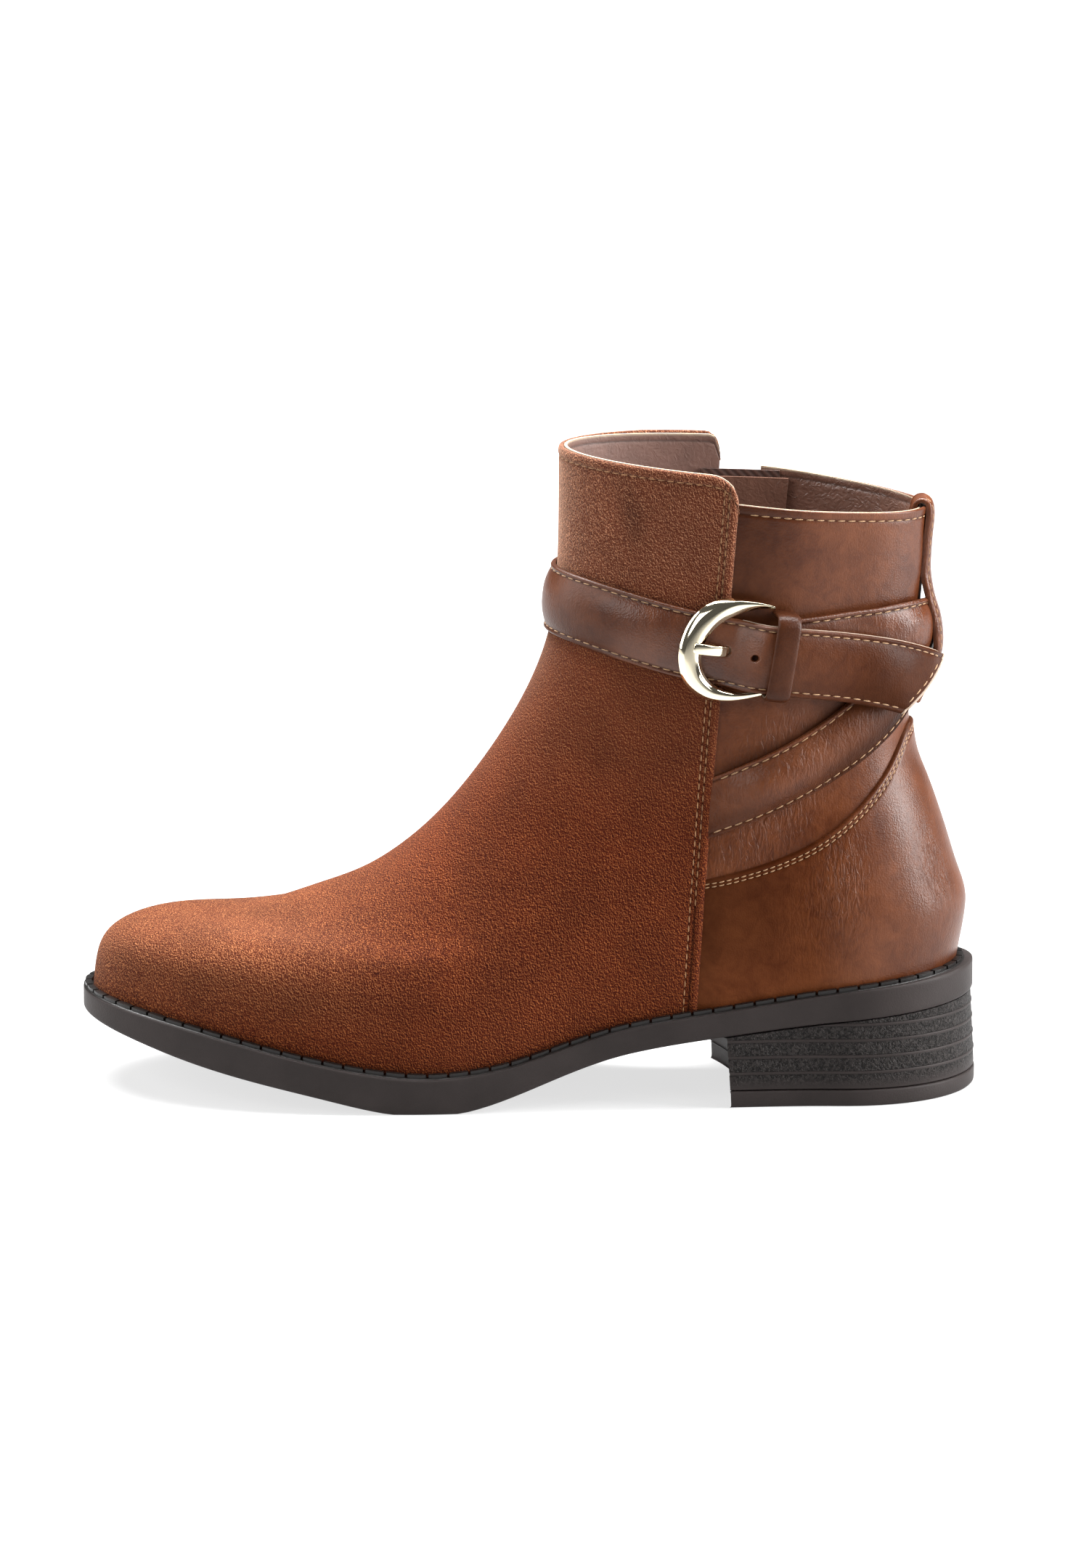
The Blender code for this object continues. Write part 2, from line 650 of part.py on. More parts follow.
class Route:
    """Middle line of a strap on the upper."""

    def __init__(self, stops):
        ways = [stop.around for stop in stops]
        self.height = spline(ways, [stop.z for stop in stops])
        self.lift = eased(ways, [stop.lift for stop in stops])

    def point(self, around):
        return last(row_at(around, self.height(around)), around)

    def axes(self, around):
        """Point, direction along, direction across (up) and outward direction."""
        around = np.asarray(around, float)
        middle = self.point(around)
        along = self.point(around + 0.004) - self.point(around - 0.004)
        speed = np.linalg.norm(along, axis=-1, keepdims=True) / 0.008
        along = along / np.linalg.norm(along, axis=-1, keepdims=True)
        normal = outward(row_at(around, self.height(around)), around)
        across = np.cross(normal, along)
        across = across / np.linalg.norm(across, axis=-1, keepdims=True)
        return middle, along, across, np.cross(along, across), speed

    def grid(self, around, offset, lift):
        """Points off the route by an offset across it and a lift off the upper."""
        middle, along, across, normal, speed = self.axes(around)
        flat = along * np.array([1.0, 1.0, 0.0])
        flat = flat / np.linalg.norm(flat, axis=-1, keepdims=True)
        shift = offset * np.sum(across * flat, axis=-1) / speed[..., 0]
        way = around + shift
        row = row_at(way, self.height(around) + across[..., 2] * offset)
        return skin(row, way, lift)

    def seat(self, name, around, lift=0.0):
        """Empty whose axes lie along, across and out of the strap."""
        middle, along, across, normal, _ = self.axes(around)
        item = place(bpy.data.objects.new(name, None), None, "tools")
        turn = Matrix((along, across, normal)).transposed().to_4x4()
        item.matrix_world = Matrix.Translation(Vector(middle + normal * lift) * MM) @ turn
        return item


def strap(name, route, ways, half, edge, crown, count=6, skew=0.0, thin=(), skip=()):
    """Strap that swells from its edge thickness to its crown, along the route."""
    offsets = np.linspace(-1.0, 1.0, count)
    lean = np.zeros(len(ways))
    lean[-4:] = np.linspace(0.0, skew, 4)
    around = ways[None, :] + lean[None, :] * offsets[:, None]
    offset = np.broadcast_to(half * offsets[:, None], around.shape)
    base = route.lift(around)
    swell = edge + (crown(around) - edge) * (1 - np.abs(offsets) ** 2.4)[:, None]
    for column, share in thin:
        swell[:, column] *= share
    over = route.grid(around, offset, base + swell)
    under = route.grid(around, offset, base)
    return shell(name, over, under, "brown leather", False, skip)


def make_straps():
    """Three straps, the buckle with its tab and keeper, and the loop down the back."""
    front, low, rear = Route(FRONT_STRAP), Route(LOW_STRAP), Route(BUCKLE_STRAP)
    hole = (BUCKLE_AT - 0.0024, BUCKLE_AT + 0.029)
    ways = np.concatenate([np.linspace(-0.42, 0.44, 25), hole, np.linspace(0.535, 0.895, 13)])
    padding = eased((0.30, 0.44, 0.70, 0.85), (3.0, 2.0, 2.0, 2.4))
    strap("strap_front", front, ways, STRAP_HALF, 1.4, padding, 6, 0.035, ((0, 0.6),), {(2, 25)})
    padding = eased((0.5, 1.5), (2.4, 2.4))
    ways = np.linspace(0.555, 1.405, 23)
    strap("strap_low", low, ways, STRAP_HALF, 1.3, padding, 6, 0.0, ((0, 0.5), (-1, 0.6)))
    padding = eased((0.5, 1.5), (1.7, 1.7))
    strap("strap_buckle", rear, np.linspace(0.64, 1.405, 22), 9.0, 1.5, padding, 4, 0.0, ((-1, 0.6),))

    seat = front.seat("buckle_seat", BUCKLE_AT)
    bar_x, bar_z = 13.0, 1.95
    outer = arc(0.6, 0, 14.4, 15.4, 62, 298, 22)
    inner = arc(4.4, 0, 10.0, 12.0, 292, 68, 20)
    outline = outer + [(bar_x + 0.4, -12.4)] + inner + [(bar_x + 0.4, 12.4)]
    frame = as_mesh(plate("buckle_frame", [outline], FRAME_HALF_THICK, "pale gold", seat,
                          (0, 0, 4.3), (0, 4.0, 0), 0.5))
    rod = rod_tool("buckle_bar", BAR_R, 25.6, seat, (bar_x, 0, bar_z), (90, 0, 0))
    cut(frame, rod, "UNION")

    eye = arc(bar_x, bar_z, 1.9, 1.9, 130, -150, 12)
    belly = [(9.0, 0.45), (5.0, 0.35), (3.6, 0.35), (0.0, 3.8), (-5.0, 6.25), (-10.4, 6.6)]
    crest = [(-10.9, 7.2), (-10.3, 7.7), (-4.5, 7.4), (0.8, 4.7), (4.4, 1.3), (8.6, 1.5), (11.0, 2.9)]
    bore = arc(bar_x, bar_z, BAR_R + GAP, BAR_R + GAP, 0, 330, 11)
    plate("buckle_prong", [eye + belly + crest, bore], 1.3, "pale gold", seat, (0, 0, 0), (90, 0, 0))

    nose_out = arc(bar_x, bar_z, 2.35, 2.35, 270, 90, 8)
    nose_in = arc(bar_x, bar_z, 1.5, 1.5, 90, 270, 8)
    tab = [(22.0, -1.6), (22.0, -0.8)] + nose_in[::-1] + [(22.0, 2.1), (22.0, 2.9)] + nose_out[::-1]
    tab = as_mesh(plate("buckle_tab", [tab], 6.0, "brown leather", seat, (0, 0, 0), (90, 0, 0)))
    cut(tab, box("tab_slot", (9.0, -1.9, -6.0), (18.0, 1.9, 9.0), seat), "DIFFERENCE")

    hold = front.seat("keeper_seat", 0.60)
    outer = arc(9.9, 7.0, 2.6, 2.6, 0, 90, 4) + arc(-9.9, 7.0, 2.6, 2.6, 90, 180, 4)
    inner = arc(-9.8, 6.9, 1.6, 1.6, 180, 90, 4) + arc(9.8, 6.9, 1.6, 1.6, 90, 0, 4)
    feet = [(-12.5, 0.2), (-11.4, 0.2)], [(11.4, 0.2), (12.5, 0.2)]
    bridge = outer + feet[0] + inner + feet[1]
    plate("keeper", [bridge], 3.9, "brown leather", hold, (0, 0, 0), (90, 0, 90))
    make_back_loop()


def rod_tool(name, radius, length, parent, at, turn):
    """Round bar made as a tool for a Boolean."""
    circle = arc(0, 0, radius, radius, 0, 330, 11)
    return as_mesh(plate(name, [circle], length / 2, None, parent, at, turn, 0.0, "tools"))


def make_back_loop():
    """Strip folded over the collar at the back and led down over the straps."""
    top = QUARTER_BACK
    down = ((165.0, 0.8), (158.0, 1.0), (153.0, 2.6), (146.0, 5.2), (141.0, 7.2), (135.0, 8.5),
            (129.0, 8.0), (122.0, 5.4), (119.0, 4.0), (116.0, 2.6))
    ways = np.linspace(-0.058, 0.058, 5) + 1.0
    thick, clear = 1.7, 0.4
    outer, inner = [], []
    for z in (top - 11.0, top - 2.0):
        row = row_at(ways, np.full(5, z))
        outer.append(skin(row, ways, -WALL - clear - thick, True))
        inner.append(skin(row, ways, -WALL - clear, True))
    row = row_at(ways, np.full(5, top))
    for turn in np.linspace(0.0, math.pi, 7):
        for grid, extra in ((outer, thick), (inner, 0.0)):
            reach = 0.5 * WALL + clear + extra
            lift = -0.5 * WALL - reach * math.cos(turn)
            point = skin(row, ways, lift, True)
            point[:, 2] += GAP + reach * math.sin(turn)
            grid.append(point)
    for z, lift in down:
        row = row_at(ways, np.full(5, z))
        outer.append(skin(row, ways, lift + thick, True))
        inner.append(skin(row, ways, lift, True))
    shell("back_loop", np.stack(outer), np.stack(inner), "brown leather")


def make_zip():
    """Tape, chain, guard, slider and pull of the zip on the medial side."""
    low_row = 4.6
    rows = np.linspace(0.0, 1.0, 20)
    middle = edge_curve(SLOT_WIDE / 2 - SLOT_FORWARD, True)

    def strip(name, half, under, over, start, stop_z, material, count):
        grids = []
        zip_line = SLOT_WIDE / 2 - SLOT_FORWARD
        shifts = [edge_curve(zip_line + x, True) for x in np.linspace(half, -half, count)]
        ends = [float(row_at(middle(10.0), stop_z))] * count
        row = start + (np.array(ends)[None, :] - start) * rows[:, None]
        way = np.stack([shift(row[:, i]) for i, shift in enumerate(shifts)], -1)
        for lift in (over, under):
            grids.append(skin(row, way, lift))
        return shell(name, grids[0], grids[1], material)

    strip("zip_tape", 12.0, -2.6, -WALL - GAP, low_row - 0.5, 176.5, "brown tape", 5)
    strip("zip_guard", 15.0, -4.2, -3.0, low_row - 0.3, 177.5, "lining", 5)
    strip("zip_chain", 2.6, -WALL, 0.5, low_row + 0.3, 176.0, "bronze", 3)

    seat_z = 168.0
    way = float(middle(row_at(middle(10.5), seat_z)))
    level = Route([Stop(way + step, seat_z, 0.0) for step in (-0.1, 0.0, 0.1)])
    seat = level.seat("zip_seat", way)
    body = [(-2.6, -5.0), (2.6, -5.0), (4.0, 1.5), (3.2, 5.0)]
    body += [(0.9, 3.9), (-0.9, 3.9), (-3.2, 5.0), (-4.0, 1.5)]
    slider = as_mesh(plate("zip_slider", [body], 1.0, "bronze", seat, (0, 0, 1.8)))
    arch = [(-4.1, 2.5), (-4.1, 5.4), (-3.4, 6.2), (3.4, 6.2), (4.1, 5.4), (4.1, 2.5), (2.9, 2.5),
            (2.9, 5.2), (-2.9, 5.2), (-2.9, 2.5)]
    bail = as_mesh(plate("slider_bail", [arch], 0.8, None, seat, (0, -0.4, 0), (90, 0, 90), 0.0, "tools"))
    cut(slider, bail, "UNION")
    tab = round_box(-2.5, -22.0, 2.5, 0.6, 0.5, 2)
    slot = round_box(-1.3, -5.6, 1.3, -0.6, 0.3, 1)
    plate("zip_pull", [tab, slot], 0.6, "bronze", seat, (0, -0.4, 4.0))


GROUPS = {}
MADE_MATERIALS = {}


def prepare():
    """Collections for parts and tools, and the materials."""
    clear_scene()
    for key, name in (("parts", "buckle ankle boot"), ("tools", "cutters and seats")):
        GROUPS[key] = bpy.data.collections.new(name)
        bpy.context.scene.collection.children.link(GROUPS[key])
    for name, (colour, rough, metal) in MATERIALS.items():
        material = bpy.data.materials.new(name)
        material.use_nodes = True
        shader = material.node_tree.nodes["Principled BSDF"]
        shader.inputs["Base Color"].default_value = (*colour, 1.0)
        shader.inputs["Roughness"].default_value = rough
        shader.inputs["Metallic"].default_value = metal
        MADE_MATERIALS[name] = material


def main():
    prepare()
    make_sole()
    make_upper()
    make_straps()
    make_zip()


main()
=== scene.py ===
"""Looks of the buckle ankle boot, laid out as a Blender add-on and run as a script.

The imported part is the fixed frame, and every piece here lies on the same last as its solids.
Tables and sizes are in millimetres; MM turns them into metres where a shape is made.
+X runs from toe to heel, -Y is the outer side of the foot, +Z is up and the floor is Z = 0.
"""

import math
from collections import namedtuple

import bpy
import numpy as np
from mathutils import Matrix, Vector


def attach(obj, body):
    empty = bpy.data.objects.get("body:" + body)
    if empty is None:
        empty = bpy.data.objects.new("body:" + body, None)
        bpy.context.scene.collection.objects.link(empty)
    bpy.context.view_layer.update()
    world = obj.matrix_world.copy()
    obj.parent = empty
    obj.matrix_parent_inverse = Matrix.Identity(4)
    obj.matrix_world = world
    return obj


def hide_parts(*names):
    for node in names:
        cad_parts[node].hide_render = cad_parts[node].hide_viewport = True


bl_info = {
    "name": "Buckle ankle boot",
    "version": (1, 0, 0),
    "blender": (4, 5, 0),
    "location": "3D View > Sidebar > Boot",
    "description": "Dresses the boot's solids in suede, leather, thread, metal and rubber",
    "category": "Object",
}

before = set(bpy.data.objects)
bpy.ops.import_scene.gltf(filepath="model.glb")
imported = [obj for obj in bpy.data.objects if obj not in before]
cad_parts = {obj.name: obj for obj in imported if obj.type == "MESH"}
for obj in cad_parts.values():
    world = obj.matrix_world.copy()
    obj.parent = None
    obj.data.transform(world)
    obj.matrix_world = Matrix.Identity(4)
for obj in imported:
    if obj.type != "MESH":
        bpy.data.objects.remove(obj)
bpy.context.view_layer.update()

MM = 0.001
GAP = 0.3
JOIN = 0.01
BOOT = "boot"

# Sole and heel
SOLE_FRONT, SOLE_BACK = -132.3, 132.0
SOLE_LENGTH = SOLE_BACK - SOLE_FRONT
TOE_Y, HEEL_Y = 5.0, -1.0
SOLE_NOSE = (85.0, 70.0)
SOLE_TAIL = 40.0
BREAST_X = 56.2
BREAST_HOLLOW = 6.0
BREAST_SLANT = 2.4
BREAST_POINTS = 15
HEEL_FLARE = 0.052
HEEL_LEAN = 0.045
FLARE_FROM, LEAN_FROM = 26.0, 21.0
HEEL_TOP = 34.0
LIFT_HIGH = 5.0
RIB_HEIGHTS = (10.3, 15.1, 19.9, 24.6)

# Upper, straps and buckle
WALL = 1.5
VAMP_STEP = 1.0
SLOT_WIDE, SLOT_FORWARD = 12.5, 5.0
SLOT_FOOT = 60.5
STRAP_HALF, BUCKLE_STRAP_HALF = 10.0, 9.0
BUCKLE_AT, KEEPER_AT = 0.482, 0.60
BAR_X, BAR_Z = 13.0, 1.95

# Crescent of the buckle, as pairs of its outer and inner edge from the upper tip to the lower one
Edge = namedtuple("Edge", "outer_x outer_y inner_x inner_y")
BOW = (
    Edge(13.0, 16.0, 13.2, 15.0),
    Edge(10.2, 16.4, 9.8, 14.7),
    Edge(6.9, 16.6, 5.9, 13.4),
    Edge(3.7, 16.6, 2.6, 11.7),
    Edge(0.3, 16.3, -0.5, 9.5),
    Edge(-3.8, 15.0, -2.8, 7.1),
    Edge(-7.7, 12.3, -4.4, 4.6),
    Edge(-10.6, 8.2, -5.4, 2.0),
    Edge(-12.2, 3.2, -5.8, -0.8),
    Edge(-12.6, -2.0, -5.6, -3.4),
    Edge(-11.6, -6.8, -4.6, -6.2),
    Edge(-9.1, -11.2, -2.9, -8.5),
    Edge(-4.6, -14.1, -0.4, -10.2),
    Edge(0.2, -14.8, 2.5, -11.0),
    Edge(5.0, -14.1, 6.3, -11.1),
    Edge(9.6, -12.6, 10.4, -10.3),
    Edge(14.3, -10.6, 14.0, -9.3),
)

Level = namedtuple("Level", "x bottom top")
SOLE_SIDE = (
    Level(-132.5, 21.0, 27.8),
    Level(-115.0, 16.9, 25.5),
    Level(-99.0, 12.8, 22.7),
    Level(-80.0, 8.5, 18.6),
    Level(-60.0, 4.2, 14.3),
    Level(-45.0, 0.8, 11.7),
    Level(-31.0, -0.8, 10.5),
    Level(-18.0, 0.4, 11.2),
    Level(-5.0, 4.2, 13.5),
    Level(10.0, 10.0, 18.2),
    Level(25.0, 15.2, 22.9),
    Level(40.0, 18.6, 26.2),
    Level(58.0, 21.2, 28.8),
    Level(95.0, 25.6, 34.4),
    Level(132.5, 28.6, 37.6),
)
Plan = namedtuple("Plan", "lateral medial")
SOLE_PLAN = (Plan(48.7, 42.5), Plan(39.5, 19.5), Plan(35.0, 27.0))
STATIONS = (0.36, 0.62, 0.84)

# Sections of the last from the feather edge up to the collar, as in the solids
Section = namedtuple(
    "Section",
    "front_x front_z back_x back_z lat_fore lat_mid lat_rear med_fore med_mid med_rear "
    "nose_lat nose_med tail sag",
)
SECTIONS = (
    Section(-128.3, 28.6, 125.6, 37.6, 43.5, 34.5, 30.0, 37.7, 15.0, 22.5, 80, 64, 36, 1.00),
    Section(-126.9, 38.8, 127.9, 50.0, 45.0, 36.0, 31.2, 39.0, 18.0, 24.5, 78, 63, 37, 0.88),
    Section(-121.5, 46.0, 128.2, 58.0, 44.3, 36.5, 31.6, 38.3, 20.5, 25.8, 76, 62, 38, 0.74),
    Section(-106.0, 50.0, 125.8, 65.5, 41.5, 36.0, 31.4, 36.5, 23.0, 26.8, 76, 64, 38, 0.60),
    Section(-82.0, 50.2, 123.0, 74.5, 39.0, 35.2, 31.0, 35.0, 25.2, 27.3, 78, 68, 39, 0.46),
    Section(-58.6, 56.8, 119.9, 84.0, 37.2, 34.4, 30.4, 34.3, 27.0, 27.6, 78, 70, 40, 0.33),
    Section(-40.7, 67.0, 116.6, 93.0, 35.4, 33.4, 29.6, 33.6, 28.4, 27.8, 74, 68, 42, 0.20),
    Section(-22.9, 83.2, 113.6, 101.5, 33.4, 32.2, 28.8, 32.6, 29.4, 28.0, 68, 64, 44, 0.10),
    Section(-5.6, 107.0, 112.5, 114.0, 31.4, 31.0, 28.0, 31.0, 30.0, 27.8, 60, 58, 46, 0.03),
    Section(5.0, 129.0, 112.8, 131.0, 29.8, 30.0, 27.6, 29.8, 29.8, 27.6, 54, 54, 48, 0.00),
    Section(9.4, 153.0, 113.6, 151.5, 29.0, 29.6, 27.6, 29.0, 29.6, 27.6, 53, 53, 50, 0.00),
    Section(10.0, 192.0, 119.5, 186.0, 29.0, 30.0, 28.5, 29.0, 30.0, 28.5, 55, 55, 52, 0.00),
)
TOP_ROW = len(SECTIONS) - 1
SWING_ROWS = 9.0

VAMP_EDGE_Z = (29.0, 100.0, 180.0)
VAMP_EDGE_X = (49.8, 54.6, 62.3)
Collar = namedtuple("Collar", "front edge drop corner")
LATERAL_COLLAR = Collar(192.0, 187.8, 8.3, 9.0)
MEDIAL_COLLAR = Collar(192.0, 191.0, 7.0, 7.0)
QUARTER_FRONT, QUARTER_BACK = 179.8, 173.8

Stop = namedtuple("Stop", "around z lift")
FRONT_STRAP = (
    Stop(-0.42, 145.0, 1.4),
    Stop(-0.20, 146.6, 1.4),
    Stop(0.00, 146.7, 1.4),
    Stop(0.20, 145.2, 1.4),
    Stop(0.33, 141.6, 1.4),
    Stop(0.41, 138.8, 1.4),
    Stop(0.490, 136.4, 1.4),
    Stop(0.56, 134.8, 6.0),
    Stop(0.70, 131.3, 6.0),
    Stop(0.80, 127.7, 6.5),
    Stop(0.90, 122.8, 8.2),
    Stop(1.00, 117.9, 9.4),
)
LOW_STRAP = (
    Stop(0.535, 89.0, 0.4),
    Stop(0.63, 97.9, 0.4),
    Stop(0.73, 108.0, 0.4),
    Stop(0.89, 123.0, 0.5),
    Stop(1.00, 131.0, 0.6),
    Stop(1.15, 139.0, 0.5),
    Stop(1.30, 145.5, 0.4),
    Stop(1.41, 149.0, 0.4),
)
BUCKLE_STRAP = (
    Stop(0.60, 137.0, 2.0),
    Stop(0.70, 138.0, 2.0),
    Stop(0.80, 138.7, 3.1),
    Stop(0.89, 139.0, 3.9),
    Stop(1.00, 137.0, 4.1),
    Stop(1.10, 133.2, 3.9),
    Stop(1.22, 127.5, 3.2),
    Stop(1.32, 122.5, 1.0),
    Stop(1.41, 119.0, 0.4),
)
COUNTER_WAY = (0.50, 0.61, 0.705, 0.79, 0.85, 0.91, 1.0)
COUNTER_TOP = (64.5, 70.3, 79.2, 91.5, 99.5, 107.0, 110.0)

# Soft folds of the suede: place, lean in degrees, half length, half width and depth
Fold = namedtuple("Fold", "around z lean half_long half_wide depth")
VAMP_FOLDS = (
    Fold(0.30, 112.0, -38.0, 26.0, 5.0, 0.55),
    Fold(0.36, 97.0, -32.0, 24.0, 4.0, 0.45),
    Fold(0.27, 92.0, -25.0, 20.0, 5.0, -0.40),
    Fold(-0.31, 110.0, 36.0, 26.0, 5.0, 0.55),
    Fold(-0.37, 95.0, 30.0, 24.0, 4.0, 0.45),
    Fold(0.33, 50.0, -20.0, 24.0, 6.0, 0.40),
    Fold(-0.33, 48.0, 20.0, 24.0, 6.0, 0.40),
    Fold(0.33, 172.0, 70.0, 14.0, 7.0, 0.50),
    Fold(0.44, 166.0, 80.0, 12.0, 5.0, -0.35),
)

# Soft form of the toe's upper face: middle, half sizes and height
Dome = namedtuple("Dome", "x y half_x half_y height")
TOE_DOMES = (
    Dome(-84.0, 33.0, 24.0, 17.0, -2.0),
    Dome(-64.0, 16.0, 15.0, 19.0, 1.6),
)
DOME_FOOT, DOME_FADE = 36.0, 10.0

# Distances in from a seam, crowded where its roll and stitches lie
NEAR_SEAM = (0.0, 0.12, 0.35, 0.7, 1.1, 1.5, 1.9, 2.3, 2.6, 2.8, 3.0, 3.4, 3.9, 4.3, 4.7, 5.3, 6.2,
             7.5, 9.5)
NEAR_TOP = (8.0, 6.6, 5.4, 4.4, 3.6, 3.0, 2.6, 2.2, 1.8, 1.4, 1.0, 0.65, 0.3, 0.0)
FAR = 99.0

# Rows of stitches: distances in from a seam or down from a top edge
VAMP_SEAMS = (2.8, 4.3)
COUNTER_SEAMS = (1.8, 3.0)
COLLAR_SEAM = 2.2
ZIP_SEAM = 2.8
STRAP_SEAM = 1.45

# Thickness of the leathers, and steps round a rolled edge
FACE_THICK, OVERLAY_THICK, LINING_THICK = 0.5, 0.6, 0.8
ROLL_STEPS = 6


def linear(code):
    """Linear colour from an sRGB hex code."""
    parts = [int(code[i:i + 2], 16) / 255 for i in (0, 2, 4)]
    return tuple(v / 12.92 if v <= 0.04045 else ((v + 0.055) / 1.055) ** 2.4 for v in parts)


def hue(label, about, code):
    """Colour setting with its default from a hex code."""
    return bpy.props.FloatVectorProperty(
        name=label, description=about, subtype="COLOR", size=3, min=0.0, max=1.0, default=linear(code))


def length(label, about, millimetres):
    """Length setting with its default in millimetres."""
    return bpy.props.FloatProperty(
        name=label, description=about, subtype="DISTANCE", unit="LENGTH", min=0.0, default=millimetres * MM)


def amount(label, about, default, top=1.0):
    """Plain factor setting."""
    return bpy.props.FloatProperty(name=label, description=about, min=0.0, max=top, default=default)


def power(label, about, watts):
    """Light setting with its default in watts."""
    return bpy.props.FloatProperty(
        name=label, description=about, subtype="POWER", unit="POWER", min=0.0, default=watts)


class BootSuede(bpy.types.PropertyGroup):
    """Brushed suede of the vamp"""
    # Painted light on the nap: deep is the tufts' shaded side, tips their highlight, leg tips a paler sheen
    deep: hue("Between the fibres", "Colour deep in the nap", "2A0F07")
    body: hue("Nap", "Colour of the nap lying flat", "491E0E")
    tips: hue("Fibre tips", "Colour of the raised fibre tips", "8C5A38")
    leg: hue("Fibre tips on the leg", "Colour of the fibre tips brushed up on the leg", "B5805F")
    clump: length("Clump", "Width of a tuft of fibres, drawn coarse enough to show", 0.44)
    rough: amount("Roughness", "Roughness of the nap", 0.92)


class BootLeather(bpy.types.PropertyGroup):
    """Waxed leather and the lining"""
    # This dark tone is the colour of painted shade in hollows, grooves and along edges
    shade_tone: hue("Burnished", "Dark wax tone in hollows and along edges", "1C0B05")
    body: hue("Body", "Body colour of the leather", "401D0B")
    # The lighter tone also carries painted light thrown up from the floor
    worn_and_lit: hue("Worn", "Lighter tone of stretched and raised places", "60341B")
    pore: length("Pore", "Spacing of the grain's pores", 0.55)
    lining: hue("Lining", "Colour of the lining leather", "674B41")
    facing: hue("Facing", "Colour of the glazed lining of the quarter", "614438")
    cut_edge: hue("Cut edge", "Colour of the lining's raw edge", "9C8A76")
    rough: amount("Roughness", "Roughness of the waxed face", 0.35)


class BootSole(bpy.types.PropertyGroup):
    """Rubber of the sole, welt and heel"""
    body: hue("Body", "Colour of the sole's rubber", "2C2726")
    heel: hue("Heel", "Colour of the heel's rough bands", "211E1D")
    welt: hue("Welt", "Colour of the polished welt", "181615")
    grit: length("Grit", "Width of the heel's moulded grit", 0.85)
    block_pitch: length("Block pitch", "Spacing of the blocks along the welt", 6.2)
    block_long: length("Block length", "Length of one block of the welt", 5.4)


class BootTrim(bpy.types.PropertyGroup):
    """Thread, buckle and zip"""
    thread: hue("Thread", "Colour of the stitching thread", "98744F")
    suede_thread: hue("Suede thread", "Colour of the thread on the suede", "94683F")
    gold: hue("Buckle", "Colour of the buckle's plating", "EADFC4")
    brass: hue("Zip", "Colour of the zip's teeth", "A48C66")
    tape: hue("Tape", "Colour of the zip's tape", "3A2117")
    stitch_long: length("Stitch", "Length of a stitch that shows", 2.6)
    stitch_pitch: length("Stitch pitch", "Spacing of the stitches", 3.25)
    thread_thick: length("Thread thickness", "Thickness of the thread", 0.44)


class BootStage(bpy.types.PropertyGroup):
    """Floor and lights"""
    floor: hue("Floor", "Colour of the floor's face", "7C7C7C")
    glow: amount("Floor glow", "Light that comes through the floor beside the boot", 0.7, 4.0)
    key: power("Key light", "Power of the soft light above", 150.0)
    side: power("Side light", "Power of each light beside the boot", 24.0)
    sky: amount("Surround", "Strength of the white surround", 0.1, 4.0)


# Curves through tables, and the last


def spline(knots, values):
    """Natural cubic spline through the knots, as a function of one value or an array."""
    x = np.asarray(knots, float)
    y = np.asarray(values, float)
    step = np.diff(x)
    system = np.eye(len(x))
    right = np.zeros(len(x))
    for i in range(1, len(x) - 1):
        system[i, i - 1:i + 2] = step[i - 1], 2 * (step[i - 1] + step[i]), step[i]
        right[i] = 6 * ((y[i + 1] - y[i]) / step[i] - (y[i] - y[i - 1]) / step[i - 1])
    bend = np.linalg.solve(system, right)

    def at(p):
        p = np.clip(p, x[0], x[-1])
        i = np.clip(np.searchsorted(x, p, side="right") - 1, 0, len(x) - 2)
        a = (x[i + 1] - p) / step[i]
        b = 1.0 - a
        curl = ((a ** 3 - a) * bend[i] + (b ** 3 - b) * bend[i + 1]) * step[i] ** 2 / 6
        return a * y[i] + b * y[i + 1] + curl

    return at


def smooth(value):
    """Ease from 0 to 1 as the value goes from 0 to 1."""
    value = np.clip(value, 0.0, 1.0)
    return value * value * (3 - 2 * value)


def unit(vectors):
    """Vectors brought to length one."""
    return vectors / np.maximum(np.linalg.norm(vectors, axis=-1, keepdims=True), 1e-9)


def eased(knots, values):
    """Steps from value to value with level ends, so that it never overshoots."""
    x = np.asarray(knots, float)
    y = np.asarray(values, float)

    def at(p):
        p = np.clip(p, x[0], x[-1])
        i = np.clip(np.searchsorted(x, p, side="right") - 1, 0, len(x) - 2)
        return y[i] + (y[i + 1] - y[i]) * smooth((p - x[i]) / (x[i + 1] - x[i]))

    return at


def through(table, count):
    """Even places along a table's rows, and the smooth values there."""
    places = np.linspace(0.0, len(table) - 1.0, count)
    return places, np.stack([spline(range(len(table)), column)(places) for column in zip(*table)], -1)


SOLE_X = [level.x for level in SOLE_SIDE]
under_curve = spline(SOLE_X, [level.bottom for level in SOLE_SIDE])
sole_top = spline(SOLE_X, [level.top for level in SOLE_SIDE])
SECTION_CURVES = [spline(range(len(SECTIONS)), column) for column in zip(*SECTIONS)]
vamp_edge_x = spline(VAMP_EDGE_Z, VAMP_EDGE_X)
counter_top = spline(COUNTER_WAY, COUNTER_TOP)


def sole_under(x):
    """Height of the sole's lower face, which is flat on the floor at the ball."""
    return np.maximum(under_curve(x), 0.0)


def along_stations(u, fore, mid, rear):
    """Half width along the foot, from its values at ball, waist and heel."""
    first = smooth((u - STATIONS[0]) / (STATIONS[1] - STATIONS[0]))
    second = smooth((u - STATIONS[1]) / (STATIONS[2] - STATIONS[1]))
    return fore + (mid - fore) * first + (rear - mid) * second


def rounded(run, reach):
    """Share of full width at a distance from a round end."""
    left = 1.0 - np.clip(run / reach, 0.0, 1.0)
    return np.sqrt(np.maximum(1.0 - left ** 2.1, 0.0))


def split_around(around):
    """Share of the way from front to back, and whether it is on the medial side."""
    turn = np.mod(around, 2.0)
    medial = turn > 1.0
    way = np.where(medial, 2.0 - turn, turn)
    return 0.5 - 0.5 * np.cos(np.pi * way), medial


